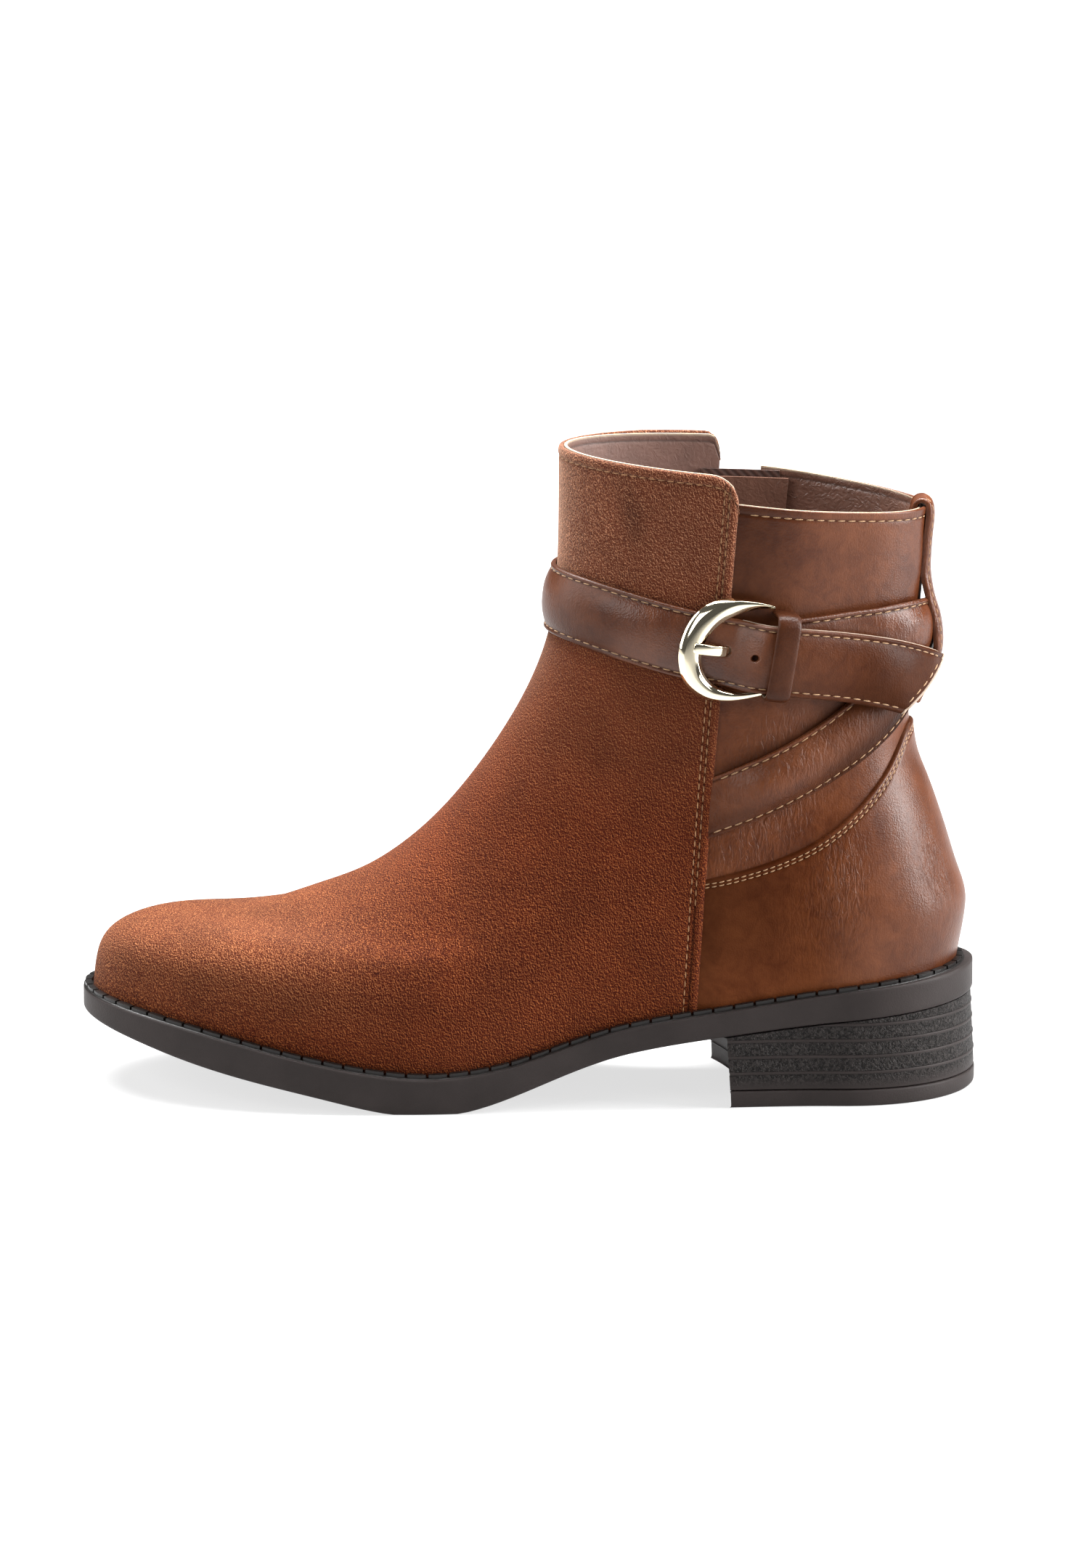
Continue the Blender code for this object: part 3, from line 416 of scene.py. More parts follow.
def last(row, around):
    """Point of the last's surface; row counts sections up from the feather edge."""
    row, around = np.broadcast_arrays(np.asarray(row, float), np.asarray(around, float))
    u, medial = split_around(around)
    s = Section(*(curve(row) for curve in SECTION_CURVES))
    first = SECTIONS[0]
    long = s.back_x - s.front_x
    fore = np.where(medial, s.med_fore, s.lat_fore)
    mid = np.where(medial, s.med_mid, s.lat_mid)
    rear = np.where(medial, s.med_rear, s.lat_rear)
    nose = np.where(medial, s.nose_med, s.nose_lat)
    half = along_stations(u, fore, mid, rear)
    half = half * rounded(u * long, nose) * rounded((1 - u) * long, s.tail)
    swing = np.clip(1.0 - row / SWING_ROWS, 0.0, 1.0)
    axis = swing * (TOE_Y * (1 - u) + HEEL_Y * u)
    foot = sole_top(first.front_x + (first.back_x - first.front_x) * u) + GAP
    dip = foot - (first.front_z + (first.back_z - first.front_z) * u)
    x = s.front_x + long * u
    z = s.front_z + (s.back_z - s.front_z) * u + s.sag * dip
    return np.stack([x, axis + np.where(medial, half, -half), z], -1)


def outward(row, around, level=False):
    """Direction out of the last; level keeps it horizontal."""
    low = np.maximum(np.asarray(row, float) - 0.02, 0.0)
    along = last(row, around + 0.002) - last(row, around - 0.002)
    up = last(low + 0.04, around) - last(low, around)
    normal = np.cross(along, up)
    if level is not False:
        normal[..., 2] = np.where(level, 0.0, normal[..., 2])
    return unit(normal)


def skin(row, around, lift, level=False):
    """Point off the last's surface by the lift."""
    row, around, lift = np.broadcast_arrays(row, around, lift)
    return last(row, around) + outward(row, around, level) * lift[..., None]


def row_at(around, z):
    """Section row at which the surface reaches the height z."""
    around, z = np.broadcast_arrays(np.asarray(around, float), np.asarray(z, float))
    low = np.zeros(around.shape)
    high = np.full(around.shape, float(TOP_ROW))
    for _ in range(24):
        middle = (low + high) / 2
        below = last(middle, around)[..., 2] < z
        low = np.where(below, middle, low)
        high = np.where(below, high, middle)
    return (low + high) / 2


def pace(row, around):
    """Millimetres along the surface for one whole step of the way round."""
    return np.linalg.norm(last(row, around + 0.002) - last(row, around - 0.002), axis=-1) / 0.004


def way_at(row, x):
    """Way round at which a section reaches x on its lateral side."""
    front = SECTION_CURVES[0](row)
    back = SECTION_CURVES[2](row)
    u = np.clip((x - front) / (back - front), 0.0, 1.0)
    return np.arccos(1.0 - 2.0 * u) / np.pi


def edge_curve(shift, medial):
    """Way round of a line parallel to the vamp's back edge, for every row."""
    values = []
    for row in range(len(SECTIONS)):
        x = VAMP_EDGE_X[1]
        for _ in range(6):
            way = way_at(row, x + shift)
            around = 2.0 - way if medial else way
            x = float(vamp_edge_x(last(row, around)[2]))
        values.append(around)
    return spline(range(len(SECTIONS)), values)


LATERAL_EDGE = edge_curve(0.0, False)
UNDER_VAMP = edge_curve(-7.0, False)
COUNTER_FRONT = edge_curve(-2.5, False)
SLOT_FRONT = edge_curve(-SLOT_FORWARD, True)
SLOT_BACK = edge_curve(SLOT_WIDE - SLOT_FORWARD, True)
COUNTER_END = edge_curve(0.8 - SLOT_FORWARD, True)


def slot_front_ahead(row):
    """The zip's front edge, counted back from the toe on the medial side."""
    return SLOT_FRONT(row) - 2.0


def collar_line(x, edge_x, collar):
    """Height of the collar; a vamp's corner rounds down at its edge."""
    if collar is None:
        share = np.clip((x - edge_x) / (SECTIONS[-1].back_x - edge_x), 0.0, 1.0)
        return QUARTER_FRONT + (QUARTER_BACK - QUARTER_FRONT) * share
    front = SECTIONS[-1].front_x
    share = np.clip((x - front) / (edge_x - front), 0.0, 1.0)
    height = collar.front + (collar.edge - collar.front) * share
    short = np.clip((collar.corner - (edge_x - x)) / collar.corner, 0.0, 1.0)
    return height - collar.drop * (1.0 - np.sqrt(1.0 - short ** 2))


def vamp_top(row, around):
    """Height of the suede's collar."""
    point = last(row, around)
    lateral = collar_line(point[..., 0], last(row, LATERAL_EDGE(row))[..., 0], LATERAL_COLLAR)
    medial = collar_line(point[..., 0], last(row, SLOT_FRONT(row))[..., 0], MEDIAL_COLLAR)
    return np.where(np.asarray(around) >= 0, lateral, medial)


def quarter_top(row, around):
    """Height of the leather's collar, behind the vamp and the zip."""
    point = last(row, around)
    lateral = collar_line(point[..., 0], last(row, LATERAL_EDGE(row))[..., 0], None)
    medial = collar_line(point[..., 0], last(row, SLOT_BACK(row))[..., 0], None)
    return np.where(np.asarray(around) <= 1, lateral, medial)


def counter_line(_, around):
    """Top edge of the counter, cut down towards the zip on the medial side."""
    way = np.where(np.asarray(around) > 1.0, 2.0 - around, around)
    top = counter_top(way)
    low = SLOT_FOOT + 130.0 * np.maximum(way - 0.56, 0.0)
    return np.where((np.asarray(around) > 1.0) & (way < 0.7), np.minimum(top, low), top)


def slot_foot_line(_, around):
    """Height to which leather closes the upper under the zip."""
    return np.full(np.shape(around), SLOT_FOOT + 4.0)


class Sheet:
    """Sheet of the upper between two seams and up to a line, with points crowded at its edges."""

    def __init__(self, start, end, top, columns, rows,
                 near_start=NEAR_SEAM, near_end=NEAR_SEAM, near_top=NEAR_TOP):
        self.start, self.end = start, end
        middle = np.linspace(0.0, 1.0, columns + 2)[1:-1]
        zero, one = np.zeros(len(near_start)), np.ones(len(near_end))
        self.share = np.concatenate([zero, middle, one])
        self.from_start = np.concatenate([near_start, np.full(columns + len(near_end), max(near_start))])
        self.from_end = np.concatenate([np.full(len(near_start) + columns, max(near_end)), near_end[::-1]])
        self.to_start = np.where(self.share > 0, FAR, self.from_start)[None, :]
        self.to_end = np.where(self.share < 1, FAR, self.from_end)[None, :]
        edge = self.reach(top)
        rate = (last(edge, self.ways(edge))[:, 2] - last(edge - 0.05, self.ways(edge))[:, 2]) / 0.05
        body = np.linspace(0.0, 1.0, rows + 1)[:-1, None] * (edge - near_top[0] / rate)[None, :]
        upper = edge[None, :] - np.array(near_top)[:, None] / rate[None, :]
        self.row = np.concatenate([body, upper])
        self.way = self.ways(self.row)
        self.to_top = np.concatenate([np.full(rows, FAR), near_top])[:, None]
        self.level = np.zeros(self.row.shape, bool)
        self.level[0] = True
        self.level[-1] = True

    def ways(self, row):
        """Way round of every column, at one row or at a row for each."""
        start, end = self.start(row), self.end(row)
        first = start + self.from_start / pace(row, start)
        second = end - self.from_end / pace(row, end)
        return first + (second - first) * self.share

    def reach(self, top):
        """Row at which each column meets the top line."""
        low = np.zeros(len(self.share))
        high = np.full(len(self.share), float(TOP_ROW))
        for _ in range(26):
            row = (low + high) / 2
            way = self.ways(row)
            below = last(row, way)[:, 2] < top(row, way)
            low = np.where(below, row, low)
            high = np.where(below, high, row)
        return (low + high) / 2

    def points(self, lift):
        """Points off the last, with the lowest row set on the sole."""
        grid = skin(self.row, self.way, lift, self.level)
        grid[0, :, 2] = sole_top(grid[0, :, 0]) + GAP
        return grid

    def column(self, from_end=None, from_start=None):
        """Number of the column that lies a distance in from one of the seams."""
        if from_end is not None:
            return int(np.argmin(np.abs(self.to_end[0] - from_end)))
        return int(np.argmin(np.abs(self.to_start[0] - from_start)))

    def line(self, to_top):
        """Number of the row that lies a distance below the top line."""
        return int(np.argmin(np.abs(self.to_top[:, 0] - to_top)))


def edge_round(distance, radius):
    """Share of full height at a distance from a rounded edge."""
    short = 1.0 - np.clip(distance / radius, 0.0, 1.0)
    return np.sqrt(np.maximum(1.0 - short ** 2, 0.0))


def hump(distance, at, half):
    """Soft ridge, one at its middle and nothing past its half width."""
    return smooth(1.0 - np.abs(distance - at) / half)


def folds(table, row, way):
    """Height of soft troughs and ridges placed on the surface."""
    z = last(row, way)[..., 2]
    step = pace(row, way)
    total = np.zeros(row.shape)
    for fold in table:
        across = (way - fold.around) * step
        up = z - fold.z
        lean = math.radians(fold.lean)
        along = across * math.cos(lean) + up * math.sin(lean)
        aside = up * math.cos(lean) - across * math.sin(lean)
        fade = smooth(1.0 - np.abs(along) / fold.half_long)
        total -= fold.depth * fade * np.exp(-(aside / fold.half_wide) ** 2)
    return total


def domes(table, points):
    """Height of soft swellings placed in plan, on the part of the surface that looks up."""
    total = np.zeros(points.shape[:2])
    for dome in table:
        along = (points[..., 0] - dome.x) / dome.half_x
        across = (points[..., 1] - dome.y) / dome.half_y
        total += dome.height * np.exp(-along ** 2 - across ** 2)
    return total * smooth((points[..., 2] - DOME_FOOT) / DOME_FADE)


# Blender pieces


def edit(change, **settings):
    """Run an edit mode operator on all of the active piece."""
    bpy.ops.object.mode_set(mode="EDIT")
    bpy.ops.mesh.select_all(action="SELECT")
    change(**settings)
    bpy.ops.object.mode_set(mode="OBJECT")


def lay(name, points, paint=(), join=False, close=False):
    """Grid primitive laid over rows of points in millimetres, with painted values for its material."""
    rows, columns = points.shape[:2]
    bpy.ops.object.select_all(action="DESELECT")
    bpy.ops.mesh.primitive_grid_add(x_subdivisions=columns - 1, y_subdivisions=rows - 1, size=1.0)
    item = bpy.context.object
    item.name = item.data.name = name
    item.data.vertices.foreach_set("co", np.ascontiguousarray(points * MM, dtype=np.float32).ravel())
    for key, values in dict(paint).items():
        field = item.data.attributes.new(key, "FLOAT", "POINT")
        values = np.broadcast_to(values, points.shape[:2])
        field.data.foreach_set("value", np.ascontiguousarray(values, dtype=np.float32).ravel())
    item.data.update()
    if join or close:
        edit(bpy.ops.mesh.remove_doubles, threshold=JOIN * MM)
    if close:
        edit(bpy.ops.mesh.fill_holes, sides=0)
    return item


def apply(item, kind, **settings):
    """Add a modifier, set it and apply it."""
    bpy.ops.object.select_all(action="DESELECT")
    item.select_set(True)
    bpy.context.view_layer.objects.active = item
    change = item.modifiers.new(kind.title(), kind)
    for key, value in settings.items():
        setattr(change, key, value)
    bpy.ops.object.modifier_apply(modifier=change.name)
    return item


def wall(item, thick):
    """Thicken a sheet away from its face."""
    return apply(item, "SOLIDIFY", thickness=thick * MM, offset=-1.0)


def finish(item, material, slot, nodes=(), angle=40.0):
    """Shade a piece, give it its material and tie it to the boot."""
    bpy.ops.object.select_all(action="DESELECT")
    item.select_set(True)
    bpy.context.view_layer.objects.active = item
    bpy.ops.object.shade_smooth_by_angle(angle=math.radians(angle))
    item.data.materials.clear()
    item.data.materials.append(material)
    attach(item, BOOT)
    if nodes:
        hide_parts(*nodes)
    return item


def copies(name, item, places):
    """One mesh of many copies of a modelled piece; places maps its points to each copy's points."""
    shape = np.array([tuple(v.co) for v in item.data.vertices]) / MM
    faces = [tuple(face.vertices) for face in item.data.polygons]
    points = [place(shape) for place in places]
    mesh = bpy.data.meshes.new(name)
    joined = [tuple(i + k * len(shape) for i in face) for k in range(len(points)) for face in faces]
    mesh.from_pydata([tuple(p) for p in np.concatenate(points) * MM], [], joined)
    made = bpy.data.objects.new(name, mesh)
    bpy.context.scene.collection.objects.link(made)
    bpy.data.objects.remove(item)
    return made


def runs(path):
    """Length along a polyline at each of its points."""
    return np.concatenate([[0.0], np.cumsum(np.linalg.norm(np.diff(path, axis=0), axis=1))])


def along_path(path, values, at):
    """Values that go with a polyline's points, read at lengths along it."""
    run = runs(path)
    return np.stack([np.interp(at, run, values[:, k]) for k in range(3)], -1)


def sew(name, path, normals, thread, pitch, long, thick):
    """Row of stitches along a path: each a grain of thread whose ends dive into the leather."""
    bpy.ops.object.select_all(action="DESELECT")
    bpy.ops.mesh.primitive_uv_sphere_add(segments=6, ring_count=6, radius=0.5 * MM)
    grain = bpy.context.object
    edit(bpy.ops.transform.rotate, value=math.pi / 2, orient_axis="Y", center_override=(0, 0, 0))
    total = runs(path)[-1]
    count = max(int(total / pitch), 1)
    starts = (np.arange(count) + 0.5) * total / count
    slanted, sunk, proud, near = 0.25, 0.35, 0.1, 0.05

    def place_at(start):
        def place(shape):
            at = start + shape[:, 0] * long
            centre = along_path(path, path, at)
            tangent = unit(along_path(path, path, at + near) - along_path(path, path, at - near))
            out = unit(along_path(path, normals, at))
            slant = shape[:, 0:1] * slanted * thick
            rise = shape[:, 2:3] * thick - (2.0 * shape[:, 0:1]) ** 4 * sunk * thick + proud * thick
            return centre + np.cross(out, tangent) * (shape[:, 1:2] * thick + slant) + out * rise
        return place

    rows = copies(name, grain, [place_at(start) for start in starts])
    return finish(rows, thread, "burnished_leather", (), 180.0)


# Materials

COLOURS = {"data_type": "RGBA"}
SOFT = {"interpolation_type": "SMOOTHSTEP"}
NOISE_SPAN = {"From Min": 0.3, "From Max": 0.7}
# Sockets of a Mix node: factor, two values, two colours, and the colour it gives
FACTOR, VALUE_A, VALUE_B, COLOUR_A, COLOUR_B, MIXED = 0, 2, 3, 6, 7, 2


def add(tree, kind, settings=None, links=None):
    """Add one shader node with its settings and the sockets that feed it."""
    made = tree.nodes.new("ShaderNode" + kind)
    for key, value in (settings or {}).items():
        if isinstance(key, str) and hasattr(made, key):
            setattr(made, key, value)
        else:
            made.inputs[key].default_value = value
    for key, socket in (links or {}).items():
        tree.links.new(socket, made.inputs[key])
    return made


def start_material(name):
    """Empty node tree with a shader, for a material named for the real one."""
    material = bpy.data.materials.new(name)
    material.use_nodes = True
    tree = material.node_tree
    shader = tree.nodes["Principled BSDF"]
    return material, tree, shader


def per(millimetres):
    """Texture scale whose features are about that many millimetres wide."""
    return 1.0 / (millimetres * MM)


def suede_material(look):
    """Brushed suede: tufts painted with a highlight above and shade below, lying flat toward the sole."""
    material, tree, shader = start_material("brushed suede")
    spot = add(tree, "TexCoord").outputs["Object"]
    tufts = []
    # Each tuft is read twice, a little apart; the step between paints a highlight above and shade below
    for shift in (0.0, 0.3 * look.clump):
        lying = add(tree, "Mapping", {"Location": (shift, 0.0, shift), "Scale": (1.0, 1.0, 0.66)},
                    {"Vector": spot})
        tuft = {"Scale": per(look.clump / MM), "Detail": 1.6, "Roughness": 0.55, "Distortion": 0.7}
        tufts.append(add(tree, "TexNoise", tuft, {"Vector": lying.outputs[0]}).outputs[0])
    brushed = add(tree, "TexNoise", {"Scale": per(18.0), "Detail": 2.0, "Roughness": 0.5}, {"Vector": spot})
    height = add(tree, "SeparateXYZ", {}, {0: spot}).outputs["Z"]
    coarse = add(tree, "MapRange", {**SOFT, "From Min": 60 * MM, "From Max": 125 * MM,
                                    "To Min": 1.3, "To Max": 0.75}, {"Value": height})
    across = add(tree, "Math", {"operation": "SUBTRACT"}, {0: tufts[0], 1: tufts[1]})
    step = add(tree, "Math", {"operation": "MULTIPLY"}, {0: across.outputs[0], 1: coarse.outputs[0]})
    low = add(tree, "MapRange", {"From Min": -0.24, "From Max": 0.0}, {"Value": step.outputs[0]})
    high = add(tree, "MapRange", {"From Min": 0.0, "From Max": 0.26}, {"Value": step.outputs[0]})
    tuft_shade = add(tree, "Mix", {**COLOURS, COLOUR_A: (*look.deep, 1), COLOUR_B: (*look.body, 1)},
                {FACTOR: low.outputs[0]})
    # Painted sheen: the highlight colour turns paler up the leg
    up_leg = add(tree, "MapRange", {**SOFT, "From Min": 135 * MM, "From Max": 165 * MM}, {"Value": height})
    fibre = add(tree, "Mix", {**COLOURS, COLOUR_A: (*look.tips, 1), COLOUR_B: (*look.leg, 1)},
                {FACTOR: up_leg.outputs[0]})
    tips = add(tree, "Mix", COLOURS, {FACTOR: high.outputs[0], COLOUR_A: tuft_shade.outputs[MIXED],
                                      COLOUR_B: fibre.outputs[MIXED]})
    # Painted shade: the suede is darker and redder toward the sole and under the arch
    low_shade_mask = add(tree, "Attribute", {"attribute_name": "low_shade"})
    low_shade_tint = add(tree, "Mix", {**COLOURS, COLOUR_A: (1, 1, 1, 1), COLOUR_B: (0.82, 0.61, 0.45, 1)},
              {FACTOR: low_shade_mask.outputs["Fac"]})
    low_shade = add(tree, "VectorMath", {"operation": "MULTIPLY"},
               {0: tips.outputs[MIXED], 1: low_shade_tint.outputs[MIXED]})
    tone = add(tree, "MapRange", {**NOISE_SPAN, "To Min": 0.86, "To Max": 1.12},
               {"Value": brushed.outputs[0]})
    # Painted shade where the seam value lies: the stitch grooves and a dent
    seam_shade = add(tree, "Attribute", {"attribute_name": "seam"})
    shade = add(tree, "MapRange", {"To Min": 1.0, "To Max": 0.42}, {"Value": seam_shade.outputs["Fac"]})
    mixed = add(tree, "Math", {"operation": "MULTIPLY"}, {0: tone.outputs[0], 1: shade.outputs[0]})
    colour = add(tree, "VectorMath", {"operation": "SCALE"}, {0: low_shade.outputs[0], "Scale": mixed.outputs[0]})
    relief = add(tree, "Bump", {"Strength": 0.8, "Distance": 0.45 * MM}, {"Height": tufts[0]})
    # The nap is brushed up on the leg and lies flatter toward the sole
    bloom = add(tree, "MapRange", {**SOFT, "From Min": 100 * MM, "From Max": 180 * MM,
                                   "To Min": 0.06, "To Max": 0.5}, {"Value": height})
    tree.links.new(colour.outputs[0], shader.inputs["Base Color"])
    tree.links.new(relief.outputs[0], shader.inputs["Normal"])
    tree.links.new(bloom.outputs[0], shader.inputs["Sheen Weight"])
    shader.inputs["Roughness"].default_value = look.rough
    shader.inputs["Specular IOR Level"].default_value = 0.08
    shader.inputs["Sheen Roughness"].default_value = 0.45
    shader.inputs["Sheen Tint"].default_value = (*linear("E0C0A8"), 1)
    return material


def leather_material(look):
    """Waxed cowhide: close pores, fine crinkles where it has been bent, painted shade in the hollows."""
    material, tree, shader = start_material("waxed brown leather")
    spot = add(tree, "TexCoord").outputs["Object"]
    pores = add(tree, "TexVoronoi", {"feature": "F1", "Scale": per(look.pore / MM), "Randomness": 0.9},
                {"Vector": spot})
    creep = add(tree, "Mapping", {"Scale": (1.0, 1.0, 0.28)}, {"Vector": spot})
    crinkle = add(tree, "TexNoise", {"Scale": per(1.35), "Detail": 2.5, "Roughness": 0.6, "Distortion": 1.2},
                  {"Vector": creep.outputs[0]})
    cloud = add(tree, "TexNoise", {"Scale": per(32.0), "Detail": 2.0, "Roughness": 0.5}, {"Vector": spot})
    mottle = add(tree, "TexNoise", {"Scale": per(5.0), "Detail": 4.0, "Roughness": 0.7, "Distortion": 0.6},
                 {"Vector": spot})
    bent, seam, floor_bounce, buffed = (add(tree, "Attribute", {"attribute_name": name}).outputs["Fac"]
                               for name in ("bent", "seam", "floor_bounce", "gloss"))
    ridge = add(tree, "MapRange", {"From Min": 0.35, "From Max": 0.65}, {"Value": crinkle.outputs[0]})
    veins = add(tree, "Math", {"operation": "MULTIPLY"}, {0: ridge.outputs[0], 1: bent})
    grain = add(tree, "Math", {"operation": "MULTIPLY", 1: 0.12}, {0: pores.outputs["Distance"]})
    height = add(tree, "Math", {"operation": "ADD"}, {0: veins.outputs[0], 1: grain.outputs[0]})
    relief = add(tree, "Bump", {"Strength": 1.0, "Distance": 0.42 * MM}, {"Height": height.outputs[0]})
    blend = add(tree, "Mix", {FACTOR: 0.45}, {VALUE_A: cloud.outputs[0], VALUE_B: mottle.outputs[0]})
    tone = add(tree, "MapRange", {"From Min": 0.36, "From Max": 0.66}, {"Value": blend.outputs[0]})
    # Painted light from the floor, where the counter paints it, adds to the lighter tone
    pale = add(tree, "Math", {"operation": "ADD", "use_clamp": True}, {0: tone.outputs[0], 1: floor_bounce})
    body = add(tree, "Mix", {**COLOURS, COLOUR_A: (*look.body, 1), COLOUR_B: (*look.worn_and_lit, 1)},
               {FACTOR: pale.outputs[0]})
    wear = add(tree, "Math", {"operation": "MULTIPLY", 1: 0.65}, {0: veins.outputs[0]})
    lit = add(tree, "Mix", {**COLOURS, COLOUR_B: (*look.worn_and_lit, 1)},
              {FACTOR: wear.outputs[0], COLOUR_A: body.outputs[MIXED]})
    # Painted shade: the seam value darkens toward the dark tone in grooves, hollows and beside straps
    dark = add(tree, "Mix", {**COLOURS, COLOUR_B: (*look.shade_tone, 1)},
               {FACTOR: seam, COLOUR_A: lit.outputs[MIXED]})
    haze = add(tree, "MapRange", {**NOISE_SPAN, "To Min": look.rough - 0.07, "To Max": look.rough + 0.1},
               {"Value": cloud.outputs[0]})
    # The wax is polished on the leg and worn dull toward the sole
    parts = add(tree, "SeparateXYZ", {}, {0: spot})
    polish = add(tree, "MapRange", {**SOFT, "From Min": 60 * MM, "From Max": 160 * MM,
                                    "To Min": 0.11, "To Max": 0.26}, {"Value": parts.outputs["Z"]})
    dull = add(tree, "MapRange", {"To Min": 1.0, "To Max": 0.05}, {"Value": seam})
    waxed = add(tree, "Math", {"operation": "MULTIPLY_ADD", 1: 0.22}, {0: buffed, 2: polish.outputs[0]})
    shine = add(tree, "Math", {"operation": "MULTIPLY"}, {0: waxed.outputs[0], 1: dull.outputs[0]})
    tree.links.new(dark.outputs[MIXED], shader.inputs["Base Color"])
    tree.links.new(haze.outputs[0], shader.inputs["Roughness"])
    tree.links.new(relief.outputs[0], shader.inputs["Normal"])
    tree.links.new(shine.outputs[0], shader.inputs["Specular IOR Level"])
    return material


def lining_material(look, name, colour, rough, wrinkled):
    """Smooth pigskin lining: faintly pored, softly wrinkled, with a pale raw edge."""
    material, tree, shader = start_material(name)
    spot = add(tree, "TexCoord").outputs["Object"]
    cloud = add(tree, "TexNoise", {"Scale": per(5.0), "Detail": 4.0, "Roughness": 0.6}, {"Vector": spot})
    wrinkle = add(tree, "TexNoise", {"Scale": per(2.2), "Detail": 2.0, "Distortion": 1.5}, {"Vector": spot})
    edge = add(tree, "Attribute", {"attribute_name": "edge"})
    seam = add(tree, "Attribute", {"attribute_name": "seam"})
    tone = add(tree, "MapRange", {**NOISE_SPAN, "To Min": 0.84, "To Max": 1.1}, {"Value": cloud.outputs[0]})
    body = add(tree, "VectorMath", {"operation": "SCALE", 0: colour}, {"Scale": tone.outputs[0]})
    # Painted shade: the seam value darkens the lining in its stitch groove
    dark = add(tree, "Mix", {**COLOURS, COLOUR_B: (*linear("3B2A24"), 1)},
               {FACTOR: seam.outputs["Fac"], COLOUR_A: body.outputs[0]})
    pale = add(tree, "Mix", {**COLOURS, COLOUR_B: (*look.cut_edge, 1)},
               {FACTOR: edge.outputs["Fac"], COLOUR_A: dark.outputs[MIXED]})
    relief = add(tree, "Bump", {"Strength": 0.7, "Distance": wrinkled * MM}, {"Height": wrinkle.outputs[0]})
    tree.links.new(pale.outputs[MIXED], shader.inputs["Base Color"])
    tree.links.new(relief.outputs[0], shader.inputs["Normal"])
    shader.inputs["Roughness"].default_value = rough
    return material


def rubber_material(look, name, colour, rough, shine):
    """Moulded thermoplastic rubber: near black, with a low sheen and a fine cast grain."""
    material, tree, shader = start_material(name)
    spot = add(tree, "TexCoord").outputs["Object"]
    grain = add(tree, "TexNoise", {"Scale": per(0.5), "Detail": 2.0}, {"Vector": spot})
    bloom = add(tree, "TexNoise", {"Scale": per(18.0), "Detail": 3.0}, {"Vector": spot})
    band = add(tree, "Attribute", {"attribute_name": "band"}).outputs["Fac"]
    grit = add(tree, "TexNoise", {"Scale": per(look.grit / MM), "Detail": 2.0, "Distortion": 0.8},
               {"Vector": spot})
    tone = add(tree, "MapRange", {**NOISE_SPAN, "To Min": 0.86, "To Max": 1.14}, {"Value": bloom.outputs[0]})
    body = add(tree, "VectorMath", {"operation": "SCALE", 0: colour}, {"Scale": tone.outputs[0]})
    speck = add(tree, "MapRange", {"From Min": 0.4, "From Max": 0.62, "To Min": 0.45, "To Max": 1.7},
                {"Value": grit.outputs[0]})
    gritty = add(tree, "VectorMath", {"operation": "SCALE", 0: look.heel}, {"Scale": speck.outputs[0]})
    cast = add(tree, "Mix", COLOURS, {FACTOR: band, COLOUR_A: body.outputs[0], COLOUR_B: gritty.outputs[0]})
    lumps = add(tree, "Math", {"operation": "MULTIPLY"}, {0: grit.outputs[0], 1: band})
    height = add(tree, "Math", {"operation": "MULTIPLY_ADD", 1: 0.08},
                 {0: grain.outputs[0], 2: lumps.outputs[0]})
    relief = add(tree, "Bump", {"Strength": 1.0, "Distance": 0.9 * MM}, {"Height": height.outputs[0]})
    tree.links.new(cast.outputs[MIXED], shader.inputs["Base Color"])
    tree.links.new(relief.outputs[0], shader.inputs["Normal"])
    shader.inputs["Roughness"].default_value = rough
    shader.inputs["Specular IOR Level"].default_value = shine
    return material


def metal_material(name, colour, rough):
    """Plated zinc casting: clean reflections, faintly clouded by handling."""
    material, tree, shader = start_material(name)
    spot = add(tree, "TexCoord").outputs["Object"]
    cloud = add(tree, "TexNoise", {"Scale": per(3.0), "Detail": 3.0}, {"Vector": spot})
    haze = add(tree, "MapRange", {**NOISE_SPAN, "To Min": rough * 0.8, "To Max": rough * 1.3},
               {"Value": cloud.outputs[0]})
    tree.links.new(haze.outputs[0], shader.inputs["Roughness"])
    shader.inputs["Base Color"].default_value = (*colour, 1)
    shader.inputs["Metallic"].default_value = 1.0
    return material


def thread_material(name, colour):
    """Bonded polyester thread: a soft sheen, with flecks where its plies turn away from the light."""
    material, tree, shader = start_material(name)
    spot = add(tree, "TexCoord").outputs["Object"]
    ply = add(tree, "TexNoise", {"Scale": per(0.45), "Detail": 1.0}, {"Vector": spot})
    tone = add(tree, "MapRange", {**NOISE_SPAN, "To Min": 0.6, "To Max": 1.15}, {"Value": ply.outputs[0]})
    body = add(tree, "VectorMath", {"operation": "SCALE", 0: colour}, {"Scale": tone.outputs[0]})
    tree.links.new(body.outputs[0], shader.inputs["Base Color"])
    shader.inputs["Roughness"].default_value = 0.6
    shader.inputs["Sheen Weight"].default_value = 0.15
    return material


def tape_material(look):
    """Woven zip tape: a fine diagonal weave."""
    material, tree, shader = start_material("woven zip tape")
    spot = add(tree, "TexCoord").outputs["Object"]
    turned = add(tree, "Mapping", {"Rotation": (0.0, math.radians(45), 0.0)}, {"Vector": spot})
    weave = add(tree, "TexWave", {"Scale": per(0.9) / 6.3, "Distortion": 0.5}, {"Vector": turned.outputs[0]})
    tone = add(tree, "MapRange", {"To Min": 0.7, "To Max": 1.2}, {"Value": weave.outputs["Fac"]})
    body = add(tree, "VectorMath", {"operation": "SCALE", 0: look.tape}, {"Scale": tone.outputs[0]})
    relief = add(tree, "Bump", {"Strength": 0.5, "Distance": 0.2 * MM}, {"Height": weave.outputs["Fac"]})
    tree.links.new(body.outputs[0], shader.inputs["Base Color"])
    tree.links.new(relief.outputs[0], shader.inputs["Normal"])
    shader.inputs["Roughness"].default_value = 0.85
    return material


# Materials that are already made, by short name
MADE = {}


